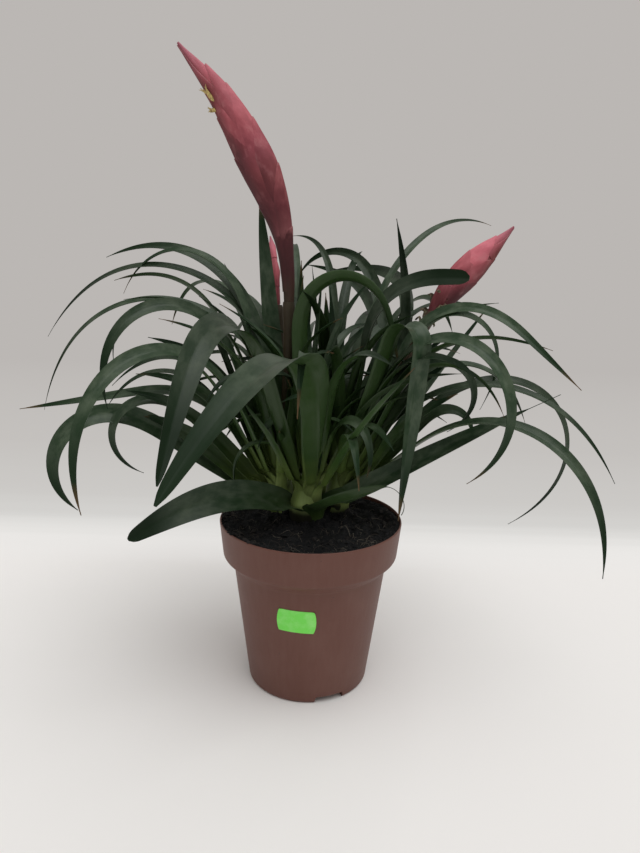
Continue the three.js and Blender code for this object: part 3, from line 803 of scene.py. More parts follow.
@dataclass
class NurseryPot:
    """The moulded pot: a thin tapered wall, a rim band, foot notches and drain holes."""

    height: float = 122.5
    rim_radius: float = 65.0
    band_foot: Point = (62.5, 97.5)
    wall_top: Point = (55.0, 90.0)
    foot_radius: float = 43.8
    foot_chamfer: float = 1.4
    wall: float = 1.3
    floor: float = 2.0
    sides: int = 160
    notch_azimuths: tuple[float, ...] = (-68.0, 52.0, 172.0)
    notch_width: float = 21.0
    notch_height: float = 5.0
    notch_reach: Point = (33.0, 50.0)
    drain_radius: float = 3.0
    notch_drain: float = 38.5
    floor_drain: float = 19.0
    floor_drains: int = 5
    corner_cut: float = 1.2
    drain_sides: int = 28
    lip: float = 0.2
    outer_corners: tuple[float, ...] = (0.0, 0.6, 1.8, 1.2, 0.3, 0.2, 0.0)
    inner_corners: tuple[float, ...] = (0.0, 0.3, 1.0, 1.6, 0.0, 0.0)
    sharp: float = 35.0

    def outer_profile(self) -> Array:
        """The outer wall from the foot to the rim, with its corners rounded."""
        corners = [
            (self.foot_radius - self.foot_chamfer, 0.0),
            (self.foot_radius, self.foot_chamfer),
            self.wall_top,
            self.band_foot,
            (self.rim_radius, self.height - 0.9),
            (self.rim_radius - 0.25, self.height - self.lip),
            (self.rim_radius - self.wall / 2, self.height),
        ]
        return rounded(np.array(corners), self.outer_corners)

    def inner_profile(self) -> Array:
        """The inner wall from the rim to the floor."""
        corners = [
            (self.rim_radius - 1.05, self.height - self.lip),
            (self.rim_radius - self.wall, self.height - 0.8),
            (self.band_foot[0] - self.wall, self.band_foot[1]),
            (self.wall_top[0] - self.wall, self.wall_top[1]),
            (self.foot_radius - self.wall, self.floor + 0.6),
            (self.foot_radius - self.wall - 0.6, self.floor),
        ]
        return rounded(np.array(corners), self.inner_corners)

    def radius_at(self, height: float) -> float:
        """The outer wall's radius at a height below the band."""
        rise = (height - self.foot_chamfer) / (self.wall_top[1] - self.foot_chamfer)
        return mix(self.foot_radius, self.wall_top[0], rise)

    def build(self, finish: Material) -> None:
        """Makes the pot's wall and cuts its notches and holes.

        Args:
            finish: The pot's material.
        """
        outer, inner = self.outer_profile(), self.inner_profile()
        shell = self.solid("pot_wall", np.concatenate([outer, inner]), finish)
        filled_profile = np.concatenate([outer, [[0.05, self.height]]])
        start, end = self.notch_reach
        width, top = self.notch_width, self.notch_height
        roof, broad = top + self.wall, width + 2 * self.wall
        for azimuth in self.notch_azimuths:
            pocket = self.box("pocket", (start - self.wall, end), broad, (0, roof), azimuth)
            cut(pocket, self.solid("filled", filled_profile, finish), Cut.INTERSECT)
            cut(shell, pocket, Cut.UNION)
            gap = self.box("gap", (start, end), width, (-1, top), azimuth, self.corner_cut)
            cut(shell, gap, Cut.DIFFERENCE)
            drain = self.drill(polar(self.notch_drain, azimuth), top + 3 * self.wall)
            cut(shell, drain, Cut.DIFFERENCE)
        for index in range(self.floor_drains):
            where = polar(self.floor_drain, 360 / self.floor_drains * index)
            cut(shell, self.drill(where, self.floor + 1), Cut.DIFFERENCE)
        mesh = shell.data
        place = mesh.attributes.get("place") or mesh.attributes.new("place", "FLOAT_VECTOR", "POINT")
        where = np.array([v.co for v in mesh.vertices]) / MM
        place.data.foreach_set("vector", where.astype(np.float32).ravel())
        mesh.polygons.foreach_set("use_smooth", [True] * len(mesh.polygons))
        mesh.set_sharp_from_angle(angle=math.radians(self.sharp))
        attach(shell, "pot", "pot")

    def solid(self, name: str, profile: Array, finish: Material) -> Piece:
        """A closed lathe from a profile that starts and ends near the axis.

        Args:
            name: The object's name.
            profile: Radius and height, one pair a row.
            finish: The pot's material.

        Returns:
            The lathe.
        """
        draft = MeshDraft(name)
        draft.add_tube(lathe_rings(profile, self.sides))
        return draft.build(finish)

    def box(
        self, name: str, reach: Point, width: float, heights: Point, azimuth: float, corner: float = 0.0
    ) -> Piece:
        """A box along an azimuth, with its upper corners cut if a corner size is given.

        Args:
            name: The object's name.
            reach: The distances of its nearer and further end from the axis.
            width: The box's width.
            heights: The heights of its lower and upper face.
            azimuth: The direction in which the box runs.
            corner: How far each upper corner is cut back.

        Returns:
            The box.
        """
        half = width / 2
        foot, top = heights
        outline = [(-half, foot), (half, foot), (half, top - corner), (half - corner, top)]
        outline += [(corner - half, top), (-half, top - corner)]
        if corner == 0:
            outline = [(-half, foot), (half, foot), (half, top), (-half, top)]
        turn = math.radians(azimuth)
        ring = np.array([[x * -math.sin(turn), x * math.cos(turn), z] for x, z in outline])
        run = np.array([math.cos(turn), math.sin(turn), 0.0])
        draft = MeshDraft(name)
        draft.add_tube(np.stack([ring + run * end for end in reach]))
        return draft.build()

    def drill(self, where: Array, top: float) -> Piece:
        """A round cutter that comes up through the floor at a level place.

        Args:
            where: Its centre.
            top: Its upper end's height.

        Returns:
            The cutter.
        """
        draft = MeshDraft("drill")
        profile = np.array([[self.drain_radius, -1.0], [self.drain_radius, top]])
        draft.add_tube(lathe_rings(profile, self.drain_sides) + np.array([*where, 0.0]))
        return draft.build()


class Cut(Enum):
    """How a body and a tool are put together."""

    UNION = "UNION"
    DIFFERENCE = "DIFFERENCE"
    INTERSECT = "INTERSECT"


def rounded(corners: Array, radii: tuple[float, ...], steps: int = 5) -> Array:
    """Rounds the corners of a profile.

    Args:
        corners: Radius and height, one pair a row.
        radii: How far back each corner is rounded.
        steps: Points on each rounded corner.

    Returns:
        The profile with its corners rounded.
    """
    points = [corners[0]]
    for before, corner, after, back in zip(corners, corners[1:], corners[2:], radii[1:]):
        start, end = (
            corner + (other - corner) * min(back / np.linalg.norm(other - corner), 0.5)
            for other in (before, after)
        )
        if back == 0:
            points.append(corner)
            continue
        for i in range(steps + 1):
            u = i / steps
            points.append(start * (1 - u) ** 2 + corner * 2 * u * (1 - u) + end * u**2)
    points.append(corners[-1])
    return np.array(points)


def cut(body: Piece, tool: Piece, way: Cut) -> None:
    """Joins or cuts a body with a tool, which is then removed.

    Args:
        body: The object that is changed.
        tool: The object that it is joined with or cut by.
        way: How they are put together.
    """
    modifier = body.modifiers.new("cut", "BOOLEAN")
    modifier.operation = way.value
    modifier.object = tool
    modifier.solver = "EXACT"
    view = bpy.context.evaluated_depsgraph_get()
    made = bpy.data.meshes.new_from_object(body.evaluated_get(view))
    body.modifiers.remove(modifier)
    old = body.data
    body.data = made
    bpy.data.meshes.remove(old)
    spent = tool.data
    bpy.data.objects.remove(tool)
    bpy.data.meshes.remove(spent)


def attach(piece: Piece, slot: str, *nodes: str) -> None:
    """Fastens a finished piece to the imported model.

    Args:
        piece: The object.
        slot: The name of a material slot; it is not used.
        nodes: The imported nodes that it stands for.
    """
    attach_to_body(piece, BODY)
    if nodes:
        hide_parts(*nodes)
    LOG.info("%s: %d faces", piece.name, len(piece.data.polygons))


# Price label


@dataclass
class PriceLabel:
    """A bare sticker on the pot's wall, a little rounder at its two ends."""

    width: float = 27.0
    height: float = 17.0
    bulge: float = 1.4
    azimuth: float = -98.5
    middle: float = 67.5
    tilt: float = 2.0
    lift: float = 0.06
    thickness: float = 0.3
    ripple: float = 0.05
    corner_cut: float = 0.35
    corner_run: float = 0.05
    peel: float = 0.5
    peel_from: Point = (0.86, 0.7)
    columns: int = 40
    rows: int = 20

    def surface(self, pot: NurseryPot, layer: float, inset: float) -> Array:
        """One face of the sticker.

        Args:
            pot: The pot that it is stuck on.
            layer: 0 for the face on the wall, 1 for the outer one.
            inset: How far the edge is drawn in.

        Returns:
            Places with the shape columns, rows, 3.
        """
        tilt = math.radians(self.tilt)
        grid = np.zeros((self.columns + 1, self.rows + 1, 3))
        for i in range(self.columns + 1):
            for j in range(self.rows + 1):
                u, v = i / self.columns - 0.5, j / self.rows - 0.5
                corner = self.corner_cut * math.exp(-(((abs(v) - 0.5) / self.corner_run) ** 2))
                bulge = self.bulge * (1 - (2 * v) ** 2) - corner
                x = u * (self.width - 2 * inset - 2 * self.bulge + 2 * bulge)
                y = v * (self.height - 2 * inset)
                side = x * math.cos(tilt) + y * math.sin(tilt)
                height = self.middle + y * math.cos(tilt) - x * math.sin(tilt)
                wall = pot.radius_at(height)
                ripple = self.ripple * math.sin(x * 0.9 + 1.0) * math.cos(y * 0.5)
                side_from, top_from = self.peel_from
                peel = smooth((abs(u) * 2 - side_from) / (1 - side_from))
                peel *= smooth((v * 2 - top_from) / (1 - top_from)) * self.peel
                radius = wall + self.lift + layer * (self.thickness + ripple) + peel
                place = polar(radius, self.azimuth + math.degrees(side / wall))
                grid[i, j] = (*place, height)
        return grid

    def build(self, pot: NurseryPot, finish: Material) -> None:
        """Makes the sticker with its rounded edge.

        Args:
            pot: The pot that it is stuck on.
            finish: The paper.
        """
        draft = MeshDraft("price_sticker")
        layers = [self.surface(pot, layer, inset) for layer, inset in ((0, 0.0), (0.8, 0.0), (1, 0.12))]
        faces: Faces = []
        rows = self.rows + 1
        size = (self.columns + 1) * rows

        def at(layer: int, i: int, j: int) -> int:
            """The corner's number."""
            return layer * size + i * rows + j

        for i in range(self.columns):
            for j in range(self.rows):
                faces.append((at(2, i, j), at(2, i + 1, j), at(2, i + 1, j + 1), at(2, i, j + 1)))
                faces.append((at(0, i, j), at(0, i, j + 1), at(0, i + 1, j + 1), at(0, i + 1, j)))
        rim = [(i, 0) for i in range(self.columns)]
        rim += [(self.columns, j) for j in range(self.rows)]
        rim += [(i, self.rows) for i in range(self.columns, 0, -1)]
        rim += [(0, j) for j in range(self.rows, 0, -1)]
        for (a, b), (c, d) in zip(rim, rim[1:] + rim[:1]):
            for low in (0, 1):
                faces.append((at(low, a, b), at(low, c, d), at(low + 1, c, d), at(low + 1, a, b)))
        draft.add(np.concatenate([layer.reshape(-1, 3) for layer in layers]), faces)
        attach(draft.build(finish, sharp=60), "label", "price_label")


# Soil


@dataclass
class SoilBed:
    """The potting mix: a lumpy bed with crumbs, bark chips and root fibres on it."""

    edge_height: float = 116.5
    mound: float = 2.5
    lump: float = 1.7
    edge_radius: float = 62.2
    bank: Point = (4.4, 5.4)
    low_side: float = -60
    heap: float = 1.8
    rim_height: float = 121.9
    rings: int = 70
    sides: int = 190
    wall_gap: float = 0.45
    rim_side: float = 170
    chips: int = 900
    chip_seed: int = 4021
    chip_size: Point = (0.5, 2.4)
    rim_crumbs: int = 260
    rim_crumb_size: Point = (0.5, 1.7)
    rim_crumb_radius: Point = (60.5, 63.6)
    rim_crumb_heap: float = 1.6
    rim_crumb_spread: float = 95
    fibres: int = 260
    fibre_seed: int = 733
    fibre_length: Point = (3.0, 15.0)
    fibre_radius: Point = (0.09, 0.24)
    fibre_tip: float = 0.05
    fibre_steps: int = 4
    fibre_sides: int = 4
    rim_fibres: int = 26
    rim_fibre_radius: float = 61.0
    rim_fibre_spread: float = 110

    def height_at(self, radius: Array | float, angle: Array | float) -> Array | float:
        """The bed's height at a radius and an azimuth in radians.

        Args:
            radius: The distance from the axis.
            angle: The azimuth.

        Returns:
            The height.
        """
        mound = self.mound * (1 - smooth(radius / self.edge_radius))
        wave = (
            np.sin(radius * 0.55 + 3 * angle)
            + np.sin(radius * 0.31 - 5 * angle + 1.3)
            + np.sin(radius * 0.83 + 8 * angle + 0.7)
        )
        return self.edge_height + mound + self.lump * wave / 3

    def fine_height(self, radius: Array, angle: Array) -> Array:
        """The bed's height with its small clods.

        Args:
            radius: Distances from the axis.
            angle: Azimuths in radians.

        Returns:
            The heights.
        """
        x, y = radius * np.cos(angle), radius * np.sin(angle)
        clods = np.sin(x * 0.9 + 2 * np.sin(y * 0.7)) * np.sin(y * 1.1 + 1.7 * np.sin(x * 0.6))
        grit = np.sin(x * 2.7 + 1.3 * np.sin(y * 2.1)) * np.sin(y * 3.1 + 0.9 * np.sin(x * 2.3))
        higher = 0.5 - 0.5 * np.cos(angle - math.radians(self.low_side))
        bank = mix(*self.bank, higher) * smooth((radius - 50) / 12) * (0.85 + 0.15 * np.sin(angle * 5))
        heap = np.zeros_like(x)
        for plan in CROWNS.values():
            at = CLUMP_MIDDLE + polar(plan.distance, plan.azimuth)
            away = np.hypot(x - at[0], y - at[1]) - plan.radius
            heap = np.maximum(heap, self.heap * np.exp(-((np.maximum(away, 0) / 5) ** 2)))
        level = self.height_at(radius, angle) + bank + heap + 0.7 * clods + 0.4 * grit
        return np.where(radius > 57, np.minimum(level, self.rim_height), level)

    def build(self, pot: NurseryPot, finishes: dict[str, Material]) -> None:
        """Makes the bed and what lies on it.

        Args:
            pot: The pot that holds it.
            finishes: The finishes by name.
        """
        self.build_bed(pot, finishes["soil"])
        self.build_chips(finishes["chip"])
        self.build_fibres(finishes["fibre"])

    def build_bed(self, pot: NurseryPot, finish: Material) -> None:
        """Makes the closed bed, with its sides just inside the pot's wall.

        Args:
            pot: The pot.
            finish: The potting mix.
        """
        angles = ring_angles(self.sides)
        inset = pot.wall + self.wall_gap
        inner = [
            (pot.foot_radius - inset, pot.notch_height + 2 * pot.wall),
            (pot.wall_top[0] - inset, pot.wall_top[1] + 0.3),
            (pot.band_foot[0] - inset, pot.band_foot[1] + 0.3),
        ]
        rows = [np.full((self.sides, 2), pair) for pair in inner]
        for radius in np.linspace(self.edge_radius + 0.9, 0.6, self.rings):
            level = self.fine_height(np.full(self.sides, radius), angles)
            rows.append(np.stack([np.full(self.sides, radius), level], axis=1))
        radius, level = np.array(rows).transpose(2, 0, 1)
        draft = MeshDraft("soil_bed")
        draft.add_tube(stacked(radius * np.cos(angles), radius * np.sin(angles), level))
        attach(draft.build(finish, sharp=80), "soil", "soil")

    def build_chips(self, finish: Material) -> None:
        """Makes the crumbs and bark chips, half sunk in the bed.

        Args:
            finish: The bark.
        """
        draws = Draws(self.chip_seed)
        draft = MeshDraft("bark_chips")
        faces = [(0, 2, 4), (2, 1, 4), (1, 3, 4), (3, 0, 4), (2, 0, 5), (1, 2, 5), (3, 1, 5), (0, 3, 5)]
        for number in range(self.chips + self.rim_crumbs):
            radius = self.edge_radius * math.sqrt(draws.between(0.02, 1.0))
            angle = draws.between(0, 2 * math.pi)
            size = mix(*self.chip_size, draws.next() ** 3)
            at_rim = number >= self.chips
            if at_rim:
                radius = draws.between(*self.rim_crumb_radius)
                spread = self.rim_crumb_spread * (draws.next() + draws.next() - 1)
                angle = math.radians(self.rim_side + spread)
                size = mix(*self.rim_crumb_size, draws.next() ** 2)
            stretch = draws.between(0.7, 2.2)
            flat = draws.between(0.35, 0.9)
            turn = Matrix.Rotation(draws.between(0, 6.28), 3, "Z")
            turn = turn @ Matrix.Rotation(draws.between(-0.7, 0.7), 3, "X")
            corners = [(stretch, 0, 0), (-stretch, 0.2, 0), (0.2, 1, 0.1)]
            corners += [(0, -1, -0.1), (0.1, 0, flat), (0, 0.1, -flat)]
            jolt = [draws.between(0.75, 1.25) for _ in corners]
            shape = np.array([(turn @ Vector(c)) * size * j for c, j in zip(corners, jolt)])
            level = float(self.fine_height(np.array(radius), np.array(angle)))
            level += size * 0.15 + (draws.between(0.0, self.rim_crumb_heap) if at_rim else 0.0)
            centre = np.array([radius * math.cos(angle), radius * math.sin(angle), level])
            draft.add(shape + centre, faces, [0.0, 0.0, draws.next(), 0.0])
        attach(draft.build(finish, sharp=20), "soil")

    def build_fibres(self, finish: Material) -> None:
        """Makes the loose fibres, most lying on the bed and some standing out of it.

        Args:
            finish: The fibres' finish.
        """
        draws = Draws(self.fibre_seed)
        draft = MeshDraft("root_fibres")
        shares = np.linspace(0, 1, 9)
        for number in range(self.fibres + self.rim_fibres):
            radius = self.edge_radius * math.sqrt(draws.between(0.12, 0.97))
            angle = draws.between(0, 2 * math.pi)
            heading = draws.between(0, 360)
            if number >= self.fibres:
                radius = self.rim_fibre_radius
                spread = self.rim_fibre_spread * (draws.next() + draws.next() - 1)
                angle = math.radians(self.rim_side + spread)
            length = mix(*self.fibre_length, draws.next() ** 2)
            curl = draws.between(-160, 160)
            rise = 0.5 + 3.5 * draws.next() ** 3
            thickness = draws.between(*self.fibre_radius)
            at = np.array([radius * math.cos(angle), radius * math.sin(angle)])
            points = []
            for i in range(self.fibre_steps + 1):
                u = i / self.fibre_steps
                level = float(self.fine_height(np.array(np.hypot(*at)), np.arctan2(at[1], at[0])))
                points.append(np.array([*at, level + 0.2 + rise * math.sin(math.pi * min(u * 1.1, 1))]))
                at = at + polar(length / self.fibre_steps, heading + curl * u)
                reach = float(np.hypot(*at))
                if reach > self.edge_radius:
                    at = at * self.edge_radius / reach
            radii = mix(thickness, self.fibre_tip, shares)
            rings = tube_rings(SmoothLine(points), shares, radii, self.fibre_sides)
            draft.add_tube(rings, [0.0, 0.0, draws.next(), 0.0])
        attach(draft.build(finish, sharp=80), "soil")


# Leaves


class Crown(Enum):
    """The five crowns of the clump, by where they stand."""

    FRONT = "front"
    RIGHT = "right"
    BACK_RIGHT = "back_right"
    BACK_LEFT = "back_left"
    LEFT = "left"


@dataclass(frozen=True)
class Leaf:
    """One leaf: how it leaves its crown, how it arches and how it twists."""

    azimuth: float
    rise: float
    length: float
    turn: float
    turn_from: float
    turn_to: float
    sway: float
    width: float
    twist: float
    lean: float = 0.0
    ending: float = 1.0


@dataclass(frozen=True)
class CrownPlan:
    """Where a crown stands, how wide it is, and its leaves: those placed one by one and the
    number and reach of those placed by rule."""

    azimuth: float
    distance: float
    radius: float
    inner: int
    reach: float
    leaves: tuple[tuple[float, ...], ...]

    def draws(self, seed: tuple[int, int]) -> Draws:
        """The crown's own random draws, from a factor for its azimuth and an offset."""
        return Draws(int(self.azimuth * seed[0] + seed[1]))


CLUMP_MIDDLE = np.array([-2.0, 30.0])
CROWNS = {
    Crown.FRONT: CrownPlan(
        270, 22, 10, 4, 10,
        (
            (229, 64, 290, 112, 0.37, 0.82, 35, 20, -18, -20, 0.96),
            (282, 58, 314, 104, 0.15, 1.1, -46, 21, -82, 50, 0.95),
            (228, 31, 148, 52, 0, 1.1, -5, 22, -30, -42, 0.92),
            (278, 28, 132, 185, 0.75, 1.1, 52, 14, -68, 0, 1.2),
            (300, 55, 165, 15, 0, 1, 0, 7, 0),
            (319, 72, 134, 198, 0.35, 1.1, -20, 9, 35, 21),
            (-5, 93, 260, 169, 0.45, 0.9, 0, 13, 21, -62),
            (335, 33, 190, 5, 0.3, 1.1, 20, 15, -30, 60, 1.12),
        ),
    ),
    Crown.RIGHT: CrownPlan(
        -18, 22, 8.5, 7, 30,
        (
            (2, 82, 212, 81, 0.53, 0.96, -23, 18, 69, -14, 0.8),
            (-15, 70, 270, 110, 0.4, 0.85, -15, 10, 25, 30),
            (5, 70, 260, 185, 0.4, 1, 0, 8, 15, 30),
            (-40, 70, 290, 220, 0.25, 1.1, 0, 11, 10, 30),
            (-20, 65, 205, 215, 0.45, 1.05, -5, 9, 20, 30),
            (8, 50, 315, 205, 0.2, 1.1, -10, 8, 25, 30),
            (-10, 65, 260, 130, 0.05, 1.1, -10, 7, 5, 30),
            (-32, 45, 270, 140, 0.2, 1.1, -5, 10, 50),
            (-10, 50, 140, 170, 0.6, 1.1, 0, 12, 30, 30),
            (-45, 70, 290, 165, 0.45, 0.6, -5, 19, 10),
        ),
    ),
    Crown.BACK_RIGHT: CrownPlan(
        54, 20, 7.5, 7, 90,
        (
            (20, 49, 227, -57, 0, 1, 13, 11, 46),
            (25, 76, 310, 90, 0.3, 1.1, 20, 7, 40),
            (32, 35, 205, -15, 0.25, 0.4, -10, 8, 30),
            (2, 57, 280, 140, 0.65, 1.1, 188, 13, -82),
            (-10, 61, 299, 72, 0.24, 1.1, 167, 16, -87),
            (18, 56, 258, 54, 0.45, 1.1, 145, 13, -73),
            (65, 75, 243, 85, 0.54, 1.1, 66, 8, -50),
        ),
    ),
    Crown.BACK_LEFT: CrownPlan(
        126, 20, 7.5, 7, 90,
        (
            (130, 70, 200, 25, 0.5, 0.7, 0, 13, 0),
            (130, 72, 227, -9, 0, 0.67, 0, 16, -22),
            (95, 80, 245, 110, 0.5, 1.1, 0, 9, 0),
        ),
    ),
    Crown.LEFT: CrownPlan(
        198, 22, 8.5, 7, 30,
        (
            (180, 90, 325, 150, 0.1, 1.1, -14, 7, -5, -35),
            (168, 83, 270, 110, 0.3, 1.1, -3, 12, -15, -35),
            (180, 80, 265, 155, 0.45, 1.1, -12, 7, -5, -35),
            (195, 90, 320, 170, 0.05, 1.1, -25, 7, 5, -35),
            (202, 72, 265, 185, 0.35, 1.1, 20, 12, -20, -35),
            (190, 70, 240, 180, 0.45, 1.1, -5, 7, 0, -35),
            (222, 65, 290, 175, 0.2, 1.1, 10, 12, -10, -35),
            (185, 60, 230, 70, 0.2, 0.65, -8, 9, -15, -35),
            (190, 48, 200, 215, 0.4, 1.1, 10, 10, -20, -35),
            (180, 35, 235, 180, 0.4, 1.1, 40, 16, 5, -60),
        ),
    ),
}


@dataclass
class InnerLeafRule:
    """How the younger and inner leaves of a crown are drawn: the first stand upright in its
    heart, the next fan out, and the last lean out, longer and more arched."""

    hearts: int = 2
    heart_rise: float = 86.5
    heart_turn: float = 5
    heart_fan: float = 60
    heart_length: Point = (145, 165)
    length: Point = (145, 210)
    rise: Point = (84, 60)
    rise_scatter: float = 8
    turn: Point = (50, 150)
    turn_scatter: Point = (0.7, 1.15)
    straight_to: Point = (0.3, 0.5)
    turn_to: float = 1.05
    width: Point = (7.5, 12)
    twist: Point = (-40, 40)
    wedge_fan: float = 31.5
    steep_rise: float = 76
    steep_spread: float = 2
    seed: tuple[int, int] = (31, 1007)

    def leaves(self, plan: CrownPlan) -> list[Leaf]:
        """Draws the leaves of a crown.

        Args:
            plan: The crown.

        Returns:
            Its inner leaves.
        """
        draws = plan.draws(self.seed)
        made = []
        for i in range(plan.inner):
            heart = i < self.hearts
            age = (i + 0.5) / plan.inner
            spread = 2 * (((i + 1) * GOLDEN) % 1) - 1
            rise, fan, turn = self.heart_rise, self.heart_fan, self.heart_turn
            if not heart:
                rise = mix(*self.rise, age) + self.rise_scatter * (draws.next() - 0.5)
                fan = self.wedge_fan + max(rise - self.steep_rise, 0) * self.steep_spread
            azimuth = plan.azimuth + (180 if heart else 0) + spread * fan
            length = draws.between(*(self.heart_length if heart else self.length)) + plan.reach * age
            if not heart:
                turn = mix(*self.turn, age) * draws.between(*self.turn_scatter)
            width = draws.between(*self.width)
            twist = draws.between(*self.twist)
            straight_to = draws.between(*self.straight_to)
            made.append(Leaf(azimuth, rise, length, turn, straight_to, self.turn_to, 0, width, twist))
        return made


@dataclass
class YoungLeafRule:
    """How the many short leaves that fill a crown are drawn, all round it except on the open
    front of the front crown, and those placed one by one, each after its crown's azimuth."""

    count: int = 18
    rise: Point = (88, 64)
    length: Point = (90, 185)
    turn: Point = (30, 175)
    straight_to: Point = (0.2, 0.5)
    width: Point = (7, 11.5)
    twist: Point = (-45, 45)
    first: float = 0.31
    rise_scatter: Point = (-4, 2)
    turn_from: float = 0.25
    turn_to: float = 1.05
    front: float = 270
    clear: float = 62
    seed: tuple[int, int] = (13, 6007)
    placed: tuple[tuple[float, tuple[float, ...]], ...] = (
        (270, (235, 82, 100, 25, 0.4, 1.1, 0, 6, 10)),
        (270, (250, 85, 116, 25, 0.4, 1.1, 0, 5.5, -10)),
        (270, (300, 83, 92, 20, 0.4, 1.1, 0, 5, 20)),
        (270, (225, 60, 104, 12, 0.4, 1.1, 0, 11, 15, -20)),
        (198, (188, 42, 120, 25, 0.4, 1.1, 0, 15, 0, -55)),
        (198, (195, 50, 140, 40, 0.4, 1.1, 0, 13, 0, -50)),
        (198, (204, 60, 150, 60, 0.4, 1.1, 0, 12, 0, -45)),
        (198, (192, 68, 160, 60, 0.4, 1.1, 0, 12, 0, -45)),
        (-18, (-24, 62, 140, 25, 0.4, 1.1, 0, 12, 0, 50)),
        (-18, (-34, 54, 130, 25, 0.4, 1.1, 0, 13, 0, 50)),
        (-18, (-12, 69, 150, 35, 0.4, 1.1, 0, 12, 0, 45)),
    )

    def leaves(self, plan: CrownPlan) -> list[Leaf]:
        """Draws the young leaves of a crown.

        Args:
            plan: The crown.

        Returns:
            Its young leaves.
        """
        draws = plan.draws(self.seed)
        made = []
        for i in range(self.count):
            age = (i + 0.5) / self.count
            azimuth = plan.azimuth + 360 * ((i * GOLDEN + self.first) % 1)
            rise = mix(*self.rise, age) + draws.between(*self.rise_scatter)
            length = mix(*self.length, draws.next() ** 0.8)
            turn = mix(*self.turn, mix(self.turn_from, 1, age) * draws.next() ** 0.6)
            straight_to = draws.between(*self.straight_to)
            width, twist = draws.between(*self.width), draws.between(*self.twist)
            if plan.azimuth == self.front and abs((azimuth - self.front + 180) % 360 - 180) < self.clear:
                continue
            made.append(Leaf(azimuth, rise, length, turn, straight_to, self.turn_to, 0, width, twist))
        return made + [Leaf(*row) for azimuth, row in self.placed if azimuth == plan.azimuth]


